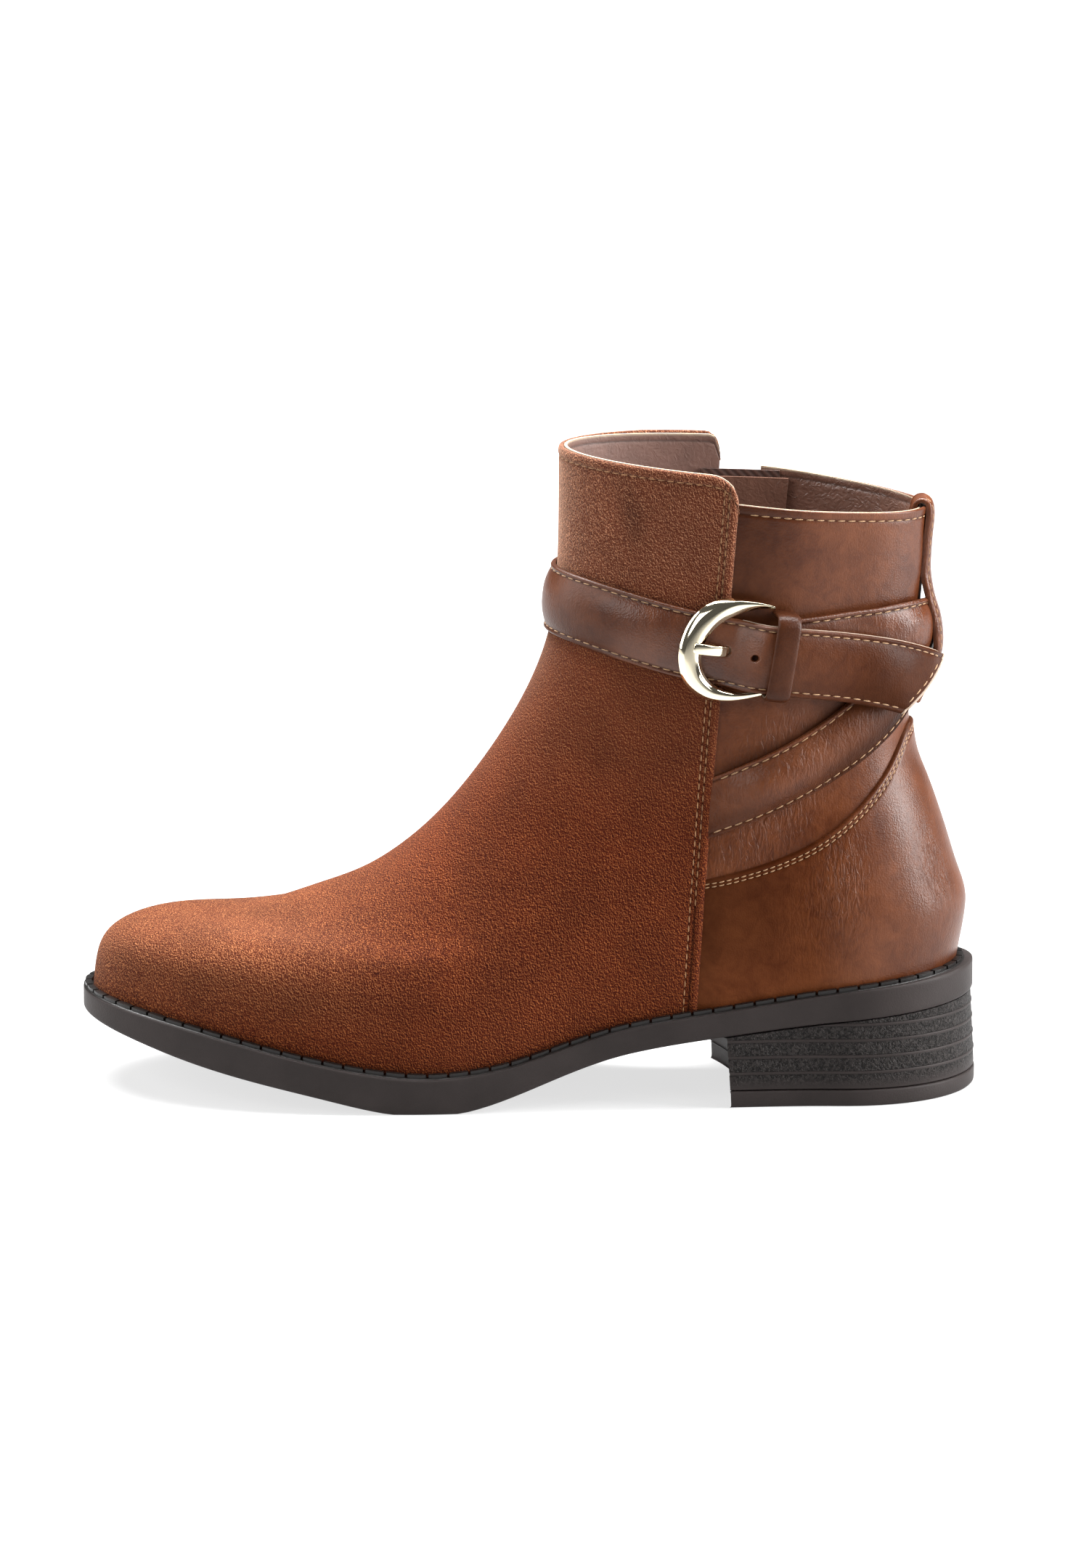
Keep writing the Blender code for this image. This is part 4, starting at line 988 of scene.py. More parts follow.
def finishes(scene):
    """The boot's materials, made once."""
    if not MADE:
        leather, sole, trim = scene.boot_leather, scene.boot_sole, scene.boot_trim
        MADE["suede"] = suede_material(scene.boot_suede)
        MADE["leather"] = leather_material(leather)
        MADE["lining"] = lining_material(leather, "matt lining leather", leather.lining, 0.6, 0.2)
        MADE["facing"] = lining_material(leather, "glazed lining leather", leather.facing, 0.3, 0.4)
        MADE["rubber"] = rubber_material(sole, "moulded sole rubber", sole.body, 0.5, 0.1)
        MADE["welt"] = rubber_material(sole, "polished welt rubber", sole.welt, 0.3, 0.25)
        MADE["gold"] = metal_material("pale gold plate", trim.gold, 0.07)
        MADE["brass"] = metal_material("satin zip brass", trim.brass, 0.32)
        MADE["thread"] = thread_material("beige polyester thread", trim.thread)
        MADE["suede thread"] = thread_material("brown polyester thread", trim.suede_thread)
        MADE["tape"] = tape_material(trim)
    return MADE


def seam_sizes(scene, share=1.0):
    """Pitch, length and thickness of stitches in millimetres."""
    trim = scene.boot_trim
    return trim.stitch_pitch / MM * share, trim.stitch_long / MM * share, trim.thread_thick / MM


# Upper


def roll_over(sheet, grid, lift, inner):
    """Rows that carry the top edge of a sheet over in a half round to its inner side."""
    row, way = sheet.row[-1], sheet.way[-1]
    radius = (lift[-1] - inner) / 2
    rows = []
    for step in range(1, ROLL_STEPS + 1):
        turn = math.pi * step / ROLL_STEPS
        ring = skin(row, way, lift[-1] - radius + radius * math.cos(turn), True)
        ring[:, 2] += radius * math.sin(turn)
        rows.append(ring)
    return np.concatenate([grid, np.stack(rows)])


def extend(values):
    """Painted values carried on over the rolled edge."""
    return np.concatenate([values, np.repeat(values[-1:], ROLL_STEPS, axis=0)])


class BOOT_OT_vamp(bpy.types.Operator):
    """Suede front of the boot, with its turned edge, soft folds and stitches"""
    bl_idname = "boot.vamp"
    bl_label = "Suede vamp"

    def execute(self, context):
        made = finishes(context.scene)
        rim = 0.8

        def top(row, around):
            return vamp_top(row, around) - rim

        sheet = Sheet(slot_front_ahead, LATERAL_EDGE, top, 130, 84)
        edge = np.minimum(sheet.to_end, sheet.to_start)
        inner, outer = VAMP_SEAMS
        lift = VAMP_STEP * edge_round(edge, 1.2) + 0.35 * hump(edge, 1.5, 1.4)
        lift = lift - 0.35 * hump(edge, inner, 0.6) - 0.3 * hump(edge, outer, 0.6)
        lift = lift + 0.2 * hump(sheet.to_top, 0.9, 1.2) - 0.3 * hump(sheet.to_top, COLLAR_SEAM, 0.7)
        form = folds(VAMP_FOLDS, sheet.row, sheet.way) + domes(TOE_DOMES, last(sheet.row, sheet.way))
        lift = lift + form * smooth(edge / 6.0)
        # Painted shade in the stitch grooves by the edges and under the collar
        seam = np.maximum(hump(edge, inner, 0.5), hump(edge, outer, 0.5))
        seam = 0.8 * np.maximum(seam, hump(sheet.to_top, COLLAR_SEAM, 0.55))
        grid = sheet.points(lift)
        # Painted shade of a shallow dent on the side of the leg
        x, y, z = np.moveaxis(grid, -1, 0)
        up = z - 176.0
        dent_shade = np.exp(-((x - 30.5 + 0.25 * up) / 3.4) ** 2 - (up / 9.0) ** 2)
        seam = np.maximum(seam, 0.75 * dent_shade * (y < 0))
        # Painted shade toward the sole and under the arch, darker and redder there
        low, waist = smooth((42.0 - z) / 24.0), smooth((x + 85.0) / 60.0)
        low_shade = np.maximum(low, waist * smooth((118.0 - z) / 40.0))
        rolled = roll_over(sheet, grid, lift, -0.6)
        vamp = lay("suede_vamp", rolled, {"seam": extend(seam), "low_shade": extend(low_shade)})
        finish(wall(vamp, FACE_THICK), made["suede"], "suede", ["upper"])
        normals = outward(sheet.row, sheet.way, sheet.level)
        sizes = seam_sizes(context.scene, 0.86)
        # The row nearer the edge starts part way up
        for number, (distance, first) in enumerate(zip(VAMP_SEAMS, (30, 0))):
            for side, column in (("lateral", sheet.column(from_end=distance)),
                                 ("medial", sheet.column(from_start=distance))):
                rows = slice(first, -4)
                sew(f"vamp_{side}_seam_{number + 1}", grid[rows, column], normals[rows, column],
                    made["suede thread"], *sizes)
        row = sheet.line(COLLAR_SEAM)
        columns = slice(9, -9)
        sew("vamp_collar_seam", grid[row, columns], normals[row, columns], made["suede thread"], *sizes)
        return {"FINISHED"}


class BOOT_OT_quarter(bpy.types.Operator):
    """Leather back of the boot, from the vamp's edge round the heel to the zip"""
    bl_idname = "boot.quarter"
    bl_label = "Leather quarter"

    def execute(self, context):
        made = finishes(context.scene)
        rim = 0.35

        def top(row, around):
            return quarter_top(row, around) - rim

        sheet = Sheet(UNDER_VAMP, SLOT_BACK, top, 150, 60, (0.0, 3.0, 6.0, 7.0, 8.0))
        lift = np.zeros(sheet.row.shape) - 0.3 * (1.0 - edge_round(sheet.to_end, 0.8))
        lift = lift - 0.22 * hump(sheet.to_top, COLLAR_SEAM, 0.7) - 0.2 * hump(sheet.to_end, ZIP_SEAM, 0.6)
        x, _, z = np.moveaxis(last(sheet.row, sheet.way), -1, 0)
        # The straps hold the leather off the heel, so it stands fuller above them at the back
        fuller = (0.5 + 2.2 * smooth((176.0 - z) / 24.0)) * smooth((z - 112.0) / 16.0)
        lift = lift + fuller * np.exp(-((sheet.way - 1.0) / 0.15) ** 2)
        # Painted shade in the stitch grooves under the collar and by the zip, and over the quarter's upper
        # front
        seam = 0.7 * np.maximum(hump(sheet.to_top, COLLAR_SEAM, 0.6), hump(sheet.to_end, ZIP_SEAM, 0.5))
        seam = np.maximum(seam, 0.45 * smooth((86.0 - x) / 24.0) * smooth((z - 120.0) / 20.0))
        # Painted shadow on the leather just above the low strap
        row, way = Route(LOW_STRAP).spots(np.linspace(0.5, 1.45, 60), np.full(60, STRAP_HALF))
        above = z - np.interp(sheet.way, way, last(row, way)[..., 2])
        seam = np.maximum(seam, 0.6 * np.exp(-(above / 4.5) ** 2) * smooth((sheet.way - 0.5) / 0.05))
        bent = 0.05 + 0.6 * np.exp(-((sheet.way - 0.62) / 0.07) ** 2) * smooth((125.0 - z) / 20.0)
        grid = sheet.points(lift)
        rolled = roll_over(sheet, grid, lift, -0.7)
        quarter = lay("leather_quarter", rolled, {"seam": extend(seam), "bent": extend(bent)})
        finish(wall(quarter, FACE_THICK), made["leather"], "burnished_leather", ["upper"])
        normals = outward(sheet.row, sheet.way, sheet.level)
        row = sheet.line(COLLAR_SEAM)
        columns = slice(6, -6)
        sizes = seam_sizes(context.scene)
        sew("quarter_collar_seam", grid[row, columns], normals[row, columns], made["thread"], *sizes)
        column = sheet.column(from_end=ZIP_SEAM)
        rows = slice(24, -4)
        sew("quarter_zip_seam", grid[rows, column], normals[rows, column], made["thread"], *sizes)
        sides = (0.0, 1.0)
        foot = Sheet(SLOT_BACK, SLOT_FRONT, slot_foot_line, 12, 30, sides, sides, (1.5, 0.8, 0.3, 0.0))
        under = foot.points(np.full(foot.row.shape, -0.1))
        panel = wall(lay("quarter_foot", under, {"seam": 0.0}), OVERLAY_THICK)
        finish(panel, made["leather"], "burnished_leather", ["upper"])
        return {"FINISHED"}


class BOOT_OT_lining(bpy.types.Operator):
    """Lining of vamp and quarter, with its pale raw edge along the collar"""
    bl_idname = "boot.lining"
    bl_label = "Lining"

    def execute(self, context):
        made = finishes(context.scene)
        near = (0.0, 2.0)
        linings = (
            ("vamp_lining", slot_front_ahead, LATERAL_EDGE, vamp_top, "lining"),
            ("quarter_lining", LATERAL_EDGE, SLOT_BACK, quarter_top, "facing"),
        )
        for name, start, end, top, key in linings:
            sheet = Sheet(start, end, top, 90, 46, near, near)
            lift = 0.12 * hump(sheet.to_top, COLLAR_SEAM, 0.8) - WALL
            lift = lift + np.minimum(domes(TOE_DOMES, last(sheet.row, sheet.way)), 0.0)
            # Painted shade in the stitch groove under the collar; the pale raw edge is the leather's own
            paint = {"seam": 0.75 * hump(sheet.to_top, COLLAR_SEAM, 0.6),
                     "edge": smooth((0.7 - sheet.to_top) / 0.25)}
            item = wall(lay(name, sheet.points(lift)[:, ::-1], paint), LINING_THICK)
            finish(item, made[key], "insole_leather", ["upper"])
        return {"FINISHED"}


class BOOT_OT_counter(bpy.types.Operator):
    """Counter round the heel, with a double row of stitches under its top edge"""
    bl_idname = "boot.counter"
    bl_label = "Counter"

    def execute(self, context):
        made = finishes(context.scene)
        sheet = Sheet(COUNTER_FRONT, COUNTER_END, counter_line, 150, 60)
        lift = 1.35 * edge_round(sheet.to_top, 1.3) * edge_round(sheet.to_end, 1.0)
        lift = lift * (0.3 + 0.7 * smooth((sheet.to_start - 2.0) / 6.0))
        inner, outer = COUNTER_SEAMS
        lift = lift - 0.25 * hump(sheet.to_top, inner, 0.6) - 0.25 * hump(sheet.to_top, outer, 0.6)
        x, _, z = np.moveaxis(last(sheet.row, sheet.way), -1, 0)
        near_sole = smooth((sole_top(x) + 24.0 - z) / 24.0)
        heel_curve = smooth((x - 98.0) / 20.0)
        # Painted shade in the stitch grooves and over the front part above the sole; the heel's curve is
        # darker too
        seam = 0.7 * np.maximum(hump(sheet.to_top, inner, 0.5), hump(sheet.to_top, outer, 0.5))
        seam = np.maximum(seam, 0.5 * smooth((92.0 - x) / 34.0) * (1.0 - near_sole))
        seam = np.maximum(seam, 0.25 * heel_curve)
        # Painted light: the lower back is lightened, as by light thrown up from the floor
        floor_bounce = 0.55 * near_sole * smooth((x - 66.0) / 26.0) * (1.0 - 0.6 * heel_curve)
        gloss = smooth((x - 82.0) / 26.0) - 0.35
        bent = 0.04 + np.exp(-((sheet.way - 0.735) / 0.035) ** 2 - ((z - 62.0) / 18.0) ** 2)
        bent = bent + 0.45 * np.exp(-((sheet.way - 0.90) / 0.03) ** 2 - ((z - 66.0) / 12.0) ** 2)
        grid = sheet.points(lift)
        paint = {"seam": seam, "bent": bent, "floor_bounce": floor_bounce, "gloss": gloss}
        counter = wall(lay("leather_counter", grid, paint), OVERLAY_THICK)
        finish(counter, made["leather"], "burnished_leather", ["counter"])
        normals = outward(sheet.row, sheet.way, sheet.level)
        columns = slice(6, -4)
        for number, distance in enumerate(COUNTER_SEAMS):
            row = sheet.line(distance)
            sew(f"counter_seam_{number + 1}", grid[row, columns], normals[row, columns], made["thread"],
                *seam_sizes(context.scene, 0.68))
        return {"FINISHED"}


# Straps


class Route:
    """Middle line of a strap on the upper."""

    def __init__(self, stops):
        ways = [stop.around for stop in stops]
        self.height = spline(ways, [stop.z for stop in stops])
        self.lift = eased(ways, [stop.lift for stop in stops])

    def point(self, around):
        """Point of the middle line on the last."""
        return last(row_at(around, self.height(around)), around)

    def axes(self, around):
        """Point, direction along, direction across (up), outward direction and speed."""
        around = np.asarray(around, float)
        along = self.point(around + 0.004) - self.point(around - 0.004)
        speed = np.linalg.norm(along, axis=-1, keepdims=True) / 0.008
        along = unit(along)
        normal = outward(row_at(around, self.height(around)), around)
        across = unit(np.cross(normal, along))
        return self.point(around), along, across, np.cross(along, across), speed

    def spots(self, around, offset):
        """Rows and ways of points off the route by an offset across it."""
        _, along, across, _, speed = self.axes(around)
        flat = unit(along * np.array([1.0, 1.0, 0.0]))
        way = around + offset * np.sum(across * flat, axis=-1) / speed[..., 0]
        return row_at(way, self.height(around) + across[..., 2] * offset), way

    def local(self, around):
        """Function that takes points in the strap's own axes to the boot's."""
        middle, along, across, normal, _ = self.axes(around)
        turn = np.stack([along, across, normal])
        return lambda points: middle + np.asarray(points, float) @ turn


def edge_spots(half, stitch):
    """Offsets across a strap, crowded at both edges."""
    inner = np.linspace(-1.0, 1.0, 11) * (half - 3.2)
    near = np.array([0.0, 0.12, 0.35, 0.7, stitch - 0.3, stitch, stitch + 0.3, 2.2])
    return np.concatenate([near - half, inner, (half - near)[::-1]])


def strap_shade(knots, values, low):
    """Painted shade along a strap, with more of it on its lower half, which faces away from the light above.
    """
    along = eased(knots, values)
    return lambda way, side: along(way) + low * smooth((-side - 0.05) / 0.6)


# Strap on a route: ways it spans, half width, thickness at its edge and padding along it, taper at both
# ends, painted crinkles, painted shade and gloss along it, lean of its tip and the holes for the prong
Strap = namedtuple("Strap", "name node route ways half edge padding taper bent wax gloss skew holes",
                   defaults=(0.0, ()))
Hole = namedtuple("Hole", "way offset radius deep")


def make_strap(scene, spec):
    """Padded strap with a rolled edge and a stitched gutter along both sides."""
    made = finishes(scene)
    ways, half = spec.ways, spec.half
    offsets = edge_spots(half, STRAP_SEAM)
    if spec.holes:
        offsets = np.unique(np.concatenate([offsets, np.linspace(-1.7, 2.3, 25)]))
    lean = spec.skew * smooth((ways - (ways[-1] - 0.09)) / 0.09)
    around = ways[None, :] + lean[None, :] * (offsets / half)[:, None]
    offset = np.broadcast_to(offsets[:, None], around.shape)
    row, way = spec.route.spots(around, offset)
    base = spec.route.lift(around)
    from_edge = half - np.abs(offset)
    swell = np.clip(1.0 - (np.abs(offset) / (half - 2.0)) ** 2.4, 0.0, 1.0)
    thick = spec.edge + (spec.padding(around) - spec.edge) * swell
    thick = thick * (0.35 + 0.65 * edge_round(from_edge, 0.75)) - 0.3 * hump(from_edge, STRAP_SEAM, 0.75)
    for run, reach, tip in zip((ways - ways[0], ways[-1] - ways), spec.taper, (0.15, 0.3)):
        if reach:
            thick = thick * (tip + (1.0 - tip) * smooth(run / reach))
    # Painted shade in the stitched gutters and along the strap, more on its lower half
    seam = np.maximum(0.75 * hump(from_edge, STRAP_SEAM, 0.7), spec.wax(around, offset / half))
    step = pace(row, way)
    for hole in spec.holes:
        reach = np.hypot((around - hole.way) * step, offset - hole.offset)
        thick = thick - hole.deep * smooth((hole.radius - reach) / (0.6 * hole.radius) + 0.35)
        # Painted shade inside each hole
        seam = np.maximum(seam, smooth((hole.radius * 1.1 - reach) / (0.5 * hole.radius)))

    def ring(face, back):
        return np.concatenate([face, back[::-1][1:-1:3], face[:1]])

    over = skin(row, way, base + thick)
    painted = {"seam": seam, "bent": spec.bent(around), "gloss": spec.gloss(around)}
    paint = {key: ring(values, values) for key, values in painted.items()}
    strap = lay(spec.name, ring(over, skin(row, way, base)), paint, True, True)
    finish(strap, made["leather"], "burnished_leather", [spec.node], 60.0)
    normals = outward(row, way)
    for label, side in (("lower", -1), ("upper", 1)):
        line = int(np.argmin(np.abs(offsets - side * (half - STRAP_SEAM))))
        sew(f"{spec.name}_{label}_seam", over[line, 3:-3], normals[line, 3:-3], made["thread"],
            *seam_sizes(scene))
    return over, normals


class BOOT_OT_straps(bpy.types.Operator):
    """Three padded straps that cross round the ankle"""
    bl_idname = "boot.straps"
    bl_label = "Straps"

    def execute(self, context):
        scene = context.scene
        self.front(scene)
        make_strap(scene, Strap(
            name="low_strap", node="strap_low", route=Route(LOW_STRAP), ways=np.linspace(0.532, 1.425, 150),
            half=STRAP_HALF, edge=1.7, padding=eased((0.55, 0.62, 0.8, 1.5), (2.4, 4.8, 3.6, 3.0)),
            taper=(0.07, 0.05), bent=eased((0.6, 0.9), (0.3, 0.2)),
            wax=strap_shade((0.64, 0.74, 0.85), (0.0, 0.35, 0.5), 0.4), gloss=eased((0.6, 0.8), (0.35, 0.1))))
        make_strap(scene, Strap(
            name="buckle_strap", node="strap_buckle", route=Route(BUCKLE_STRAP),
            ways=np.linspace(0.615, 1.425, 130), half=BUCKLE_STRAP_HALF, edge=1.6,
            padding=eased((0.74, 0.88, 1.12, 1.3), (1.8, 3.4, 3.4, 1.8)), taper=(0.0, 0.05),
            bent=eased((0.85, 0.87, 0.89, 0.91), (0.08, 0.32, 0.32, 0.08)),
            wax=strap_shade((0.6, 0.7), (0.2, 0.0), 0.0), gloss=eased((0.7, 0.8), (0.6, 0.12))))
        return {"FINISHED"}

    def front(self, scene):
        """Front strap with its two holes, its stitched tip and its raw edges."""
        made = finishes(scene)
        hole = BUCKLE_AT + 0.006
        spread, crowded = np.linspace(-0.455, 0.9, 200), np.linspace(hole - 0.03, hole + 0.07, 70)
        ways = np.unique(np.concatenate([spread, crowded]))
        over, normals = make_strap(scene, Strap(
            name="front_strap", node="strap_front", route=Route(FRONT_STRAP), ways=ways,
            half=STRAP_HALF, edge=1.5,
            padding=eased((0.30, 0.44, 0.70, 0.82, 0.88), (3.3, 2.3, 2.5, 2.6, 1.2)), taper=(0.04, 0.0),
            bent=eased((0.0, 1.0), (0.06, 0.06)),
            wax=strap_shade((0.26, 0.33, 0.55, 0.66, 0.8), (0.35, 0.0, 0.1, 0.35, 0.65), 0.1),
            gloss=eased((0.25, 0.42, 0.5, 0.6, 0.75), (0.6, 1.2, 0.9, 0.0, -0.4)),
            skew=0.04, holes=(Hole(hole, 0.3, 1.5, 1.6), Hole(hole + 0.0515, 0.1, 1.05, 1.4))))
        tip = slice(8, -8)
        column = int(np.argmin(np.abs(ways - (ways[-1] - 0.013))))
        sew("front_strap_tip_seam", over[tip, column], normals[tip, column], made["thread"],
            *seam_sizes(scene))
        behind = ways > BUCKLE_AT + 0.02
        edges = (
            ("tip", over[1:-1, -1], normals[1:-1, -1], 0.36),
            ("upper", over[-1, behind], normals[-1, behind], 0.2),
        )
        for label, raw, facing, thick in edges:
            side = np.cross(unit(np.gradient(raw, axis=0)), facing)
            bead = rounded_bar(thick, thick, 2.0, 8)
            cut = sweep(f"front_strap_{label}_cut_edge", raw, side, facing, bead, {"edge": 0.6})
            finish(cut, made["lining"], "burnished_leather")


class BOOT_OT_back_loop(bpy.types.Operator):
    """Strip folded over the collar at the back and led down over the straps"""
    bl_idname = "boot.back_loop"
    bl_label = "Back loop"

    def execute(self, context):
        made = finishes(context.scene)
        thick, clear, stitch, count = 2.0, 0.5, 0.74, 90
        half = np.array([0.0, 0.3, 0.6, stitch, 0.88, 0.97, 1.0])
        across = np.concatenate([-half[:0:-1], half])
        ways = 1.0 + 0.052 * across
        # Stops of the strip: height on the last, distance off it and rise above it
        folded = [(QUARTER_BACK - 11.0, -WALL - clear, 0.0), (QUARTER_BACK - 2.0, -WALL - clear, 0.0)]
        reach = 0.5 * WALL + clear
        for turn in np.linspace(0.0, math.pi, 7):
            folded.append((QUARTER_BACK, -0.5 * WALL - reach * math.cos(turn), GAP + reach * math.sin(turn)))
        down = ((171.0, 1.2), (165.0, 1.7), (158.0, 2.4), (153.0, 3.2), (146.0, 5.2), (141.0, 7.0),
                (135.0, 7.9), (129.0, 7.2), (122.0, 4.6), (119.0, 3.2), (116.0, 1.8))
        folded += [(z, lift, 0.0) for z, lift in down]
        places, curves = through(folded, count)
        z, lift, rise = np.moveaxis(curves[:, None, :], -1, 0)
        row = row_at(ways[None, :], z)
        hug = 0.04 + 0.2 * smooth((z - 147.0) / 8.0)
        lift = np.where(lift > 0.3, 0.3 + (lift - 0.3) * (1.0 - hug * across ** 2), lift)
        inner = skin(row, ways[None, :], lift, True)
        inner[..., 2] += rise
        middle = inner[:, len(ways) // 2]
        out = unit(np.cross(np.gradient(middle, axis=0), np.array([0.0, 1.0, 0.0])))
        swell = 0.5 + 0.5 * edge_round(1.0 - np.abs(across), 0.16)
        swell = thick * swell - 0.2 * hump(np.abs(across), stitch, 0.14)
        thin = 1.0 - 0.35 * hump(places, 5.0, 4.5)
        outer = inner + out[:, None, :] * swell[None, :, None] * thin[:, None, None]
        ring = np.concatenate([outer, inner[:, ::-1][:, 1:-1:5], outer[:, :1]], axis=1)
        # Painted shade in the stitch grooves
        seam = np.broadcast_to(0.7 * hump(np.abs(across), stitch, 0.13), (count, len(ways)))
        paint = {"seam": np.concatenate([seam, seam[:, 1:-1:5], seam[:, :1]], axis=1), "bent": 0.2}
        loop = lay("back_loop_strip", ring, paint, True, True)
        edit(bpy.ops.mesh.normals_make_consistent, inside=False)
        finish(loop, made["leather"], "burnished_leather", ["back_loop"], 60.0)
        rows = slice(26, -2)
        for label, side in (("lateral", -stitch), ("medial", stitch)):
            column = int(np.argmin(np.abs(across - side)))
            sew(f"back_loop_{label}_seam", outer[rows, column], out[rows], made["thread"],
                *seam_sizes(context.scene, 0.8))
        return {"FINISHED"}


def sweep(name, middles, sides, ups, section, paint=()):
    """Bar swept along a path: section gives offsets to the side and up, for all places or for each."""
    grid = middles[:, None, :] + section[..., 0:1] * sides[:, None, :] + section[..., 1:2] * ups[:, None, :]
    grid = np.concatenate([grid, grid[:, :1]], axis=1)
    item = lay(name, grid, paint, True, True)
    edit(bpy.ops.mesh.normals_make_consistent, inside=False)
    return item


def sweep_at(seat, name, middles, sides, ups, section, paint=()):
    """Bar swept along a path that is given in a strap's own axes."""
    origin = seat(np.zeros(3))
    return sweep(name, seat(middles), seat(sides) - origin, seat(ups) - origin, section, paint)


def folded_strip(seat, name, middles, side, section, paint=()):
    """Bar swept along a path in a strap's own axes, level to one side all the way."""
    sides = np.tile(side, (len(middles), 1))
    ups = np.cross(sides, unit(np.gradient(middles, axis=0)))
    return sweep_at(seat, name, middles, sides, ups, section, paint)


def rounded_bar(half_wide, half_thick, power=3.0, count=20):
    """Section of a bar with soft corners."""
    turn = np.linspace(0.0, 2 * math.pi, count, endpoint=False)
    x = np.sign(np.cos(turn)) * np.abs(np.cos(turn)) ** (2 / power)
    y = np.sign(np.sin(turn)) * np.abs(np.sin(turn)) ** (2 / power)
    return np.stack([x * half_wide, y * half_thick], -1)


def bevelled(corners, share):
    """Section with its corners cut a little, so that they shine but stay crisp."""
    corners = np.array(corners)
    cuts = [corners + (np.roll(corners, step, axis=0) - corners) * share for step in (1, -1)]
    return np.stack(cuts, 1).reshape(-1, 2)


class BOOT_OT_buckle(bpy.types.Operator):
    """Crescent buckle with its bar, prong, tab and keeper"""
    bl_idname = "boot.buckle"
    bl_label = "Buckle"

    def execute(self, context):
        made = finishes(context.scene)
        front = Route(FRONT_STRAP)
        seat = front.local(BUCKLE_AT)
        self.frame(seat, made)
        self.prong(seat, made)
        self.tab(seat, made)
        self.keeper(front.local(KEEPER_AT), made)
        return {"FINISHED"}

    def frame(self, seat, made):
        """Cast crescent, with its ridge near the outer edge above and further in below, and the bar."""
        count = 120
        place, edges = through(BOW, count)
        outer, inner = edges[:, :2], edges[:, 2:]
        flat = (outer + inner) / 2
        half = np.linalg.norm(inner - outer, axis=1) / 2
        tilt = math.tan(math.radians(4.0))
        middles = np.column_stack([flat, 4.3 - flat[:, 0] * tilt])
        across = (inner - outer) / (2 * half)[:, None]
        sides = np.column_stack([across, -across[:, 0] * tilt])
        ups = np.tile(np.array([tilt, 0.0, 1.0]) / math.hypot(tilt, 1.0), (count, 1))
        upper = ((-1.0, -0.9), (-1.0, -0.15), (-0.8, 0.8), (-0.3, 1.0), (1.0, 0.05), (1.0, -0.9))
        lower = ((-1.0, -0.9), (-1.0, -0.15), (-0.5, 0.85), (0.45, 1.0), (1.0, 0.2), (1.0, -0.9))
        upper, lower = bevelled(upper, 0.08), bevelled(lower, 0.08)
        section = upper + (lower - upper) * smooth((place - 3.0) / 3.0)[:, None, None]
        high = 1.75 - 1.1 * smooth((np.abs(place / place[-1] - 0.5) - 0.28) / 0.22)
        section = section * np.stack([half, high], -1)[:, None, :]
        item = sweep_at(seat, "buckle_bow", middles, sides, ups, section)
        finish(item, made["gold"], "pale_gold", ["buckle_frame"], 70.0)
        count = 8
        bar = np.column_stack([np.full(count, BAR_X), np.linspace(-10.0, 10.0, count), np.full(count, BAR_Z)])
        x, z = np.tile([1.0, 0.0, 0.0], (count, 1)), np.tile([0.0, 0.0, 1.0], (count, 1))
        rod = sweep_at(seat, "buckle_bar", bar, x, z, rounded_bar(0.9, 0.9, 2.0, 12))
        finish(rod, made["gold"], "pale_gold")

    def prong(self, seat, made):
        """Prong from the bar, down into the strap's hole and up over the crescent."""
        knots = ((14.6, 1.9), (13.0, 3.6), (10.2, 2.4), (7.0, 1.3), (3.8, 1.2), (1.7, 2.5), (-0.2, 4.3),
                 (-2.6, 5.7), (-5.4, 6.6), (-7.4, 6.9), (-8.4, 6.85))
        x, z = through(knots, 70)[1].T
        middles = np.column_stack([x, np.full(len(x), 0.25), z])
        end = edge_round(np.linalg.norm(middles - middles[-1], axis=1), 0.7)
        section = rounded_bar(1.55, 0.62, 4.0, 20)[None] * (0.35 + 0.65 * end)[:, None, None]
        item = folded_strip(seat, "buckle_tongue", middles, (0.0, 1.0, 0.0), section)
        finish(item, made["gold"], "pale_gold", ["buckle_prong"], 70.0)

    def tab(self, seat, made):
        """Leather folded round the bar."""
        knots = ((22.0, -1.2), (17.0, -1.2), (13.0, -0.1), (11.1, 1.95), (13.0, 3.9), (17.0, 2.9),
                 (22.0, 2.5))
        x, z = through(knots, 48)[1].T
        middles = np.column_stack([x, np.zeros(len(x)), z])
        item = folded_strip(seat, "buckle_fold", middles, (0.0, 1.0, 0.0), rounded_bar(6.0, 0.4, 6.0, 20))
        finish(item, made["leather"], "burnished_leather", ["buckle_tab"], 60.0)

    def keeper(self, seat, made):
        """Keeper bent over the strap behind the buckle."""
        turn = np.radians(np.linspace(0.0, 90.0, 9))
        back = turn[::-1]
        right = np.column_stack([9.8 + 3.3 * np.cos(turn), 5.75 + 3.3 * np.sin(turn)])
        left = np.column_stack([-8.6 - 2.8 * np.cos(back), 6.25 + 2.8 * np.sin(back)])
        bow = 9.05 + 0.35 * np.cos(np.linspace(-1.5, 1.5, 15))
        over = np.column_stack([np.linspace(9.4, -8.2, 15), bow])[1:-1]
        start, end = ((13.1, -4.0), (13.1, 2.5)), ((-11.4, 3.0), (-11.4, -3.0))
        path = np.concatenate([start, right, over, left, end])
        middles = np.column_stack([0.03 * path[:, 0] - 3.2, path])
        item = folded_strip(seat, "strap_keeper", middles, (-1.0, 0.0, 0.0), rounded_bar(3.6, 0.95, 2.7, 24),
                            {"seam": 0.6, "gloss": 0.5})
        finish(item, made["leather"], "burnished_leather", ["keeper"], 60.0)


# Sole


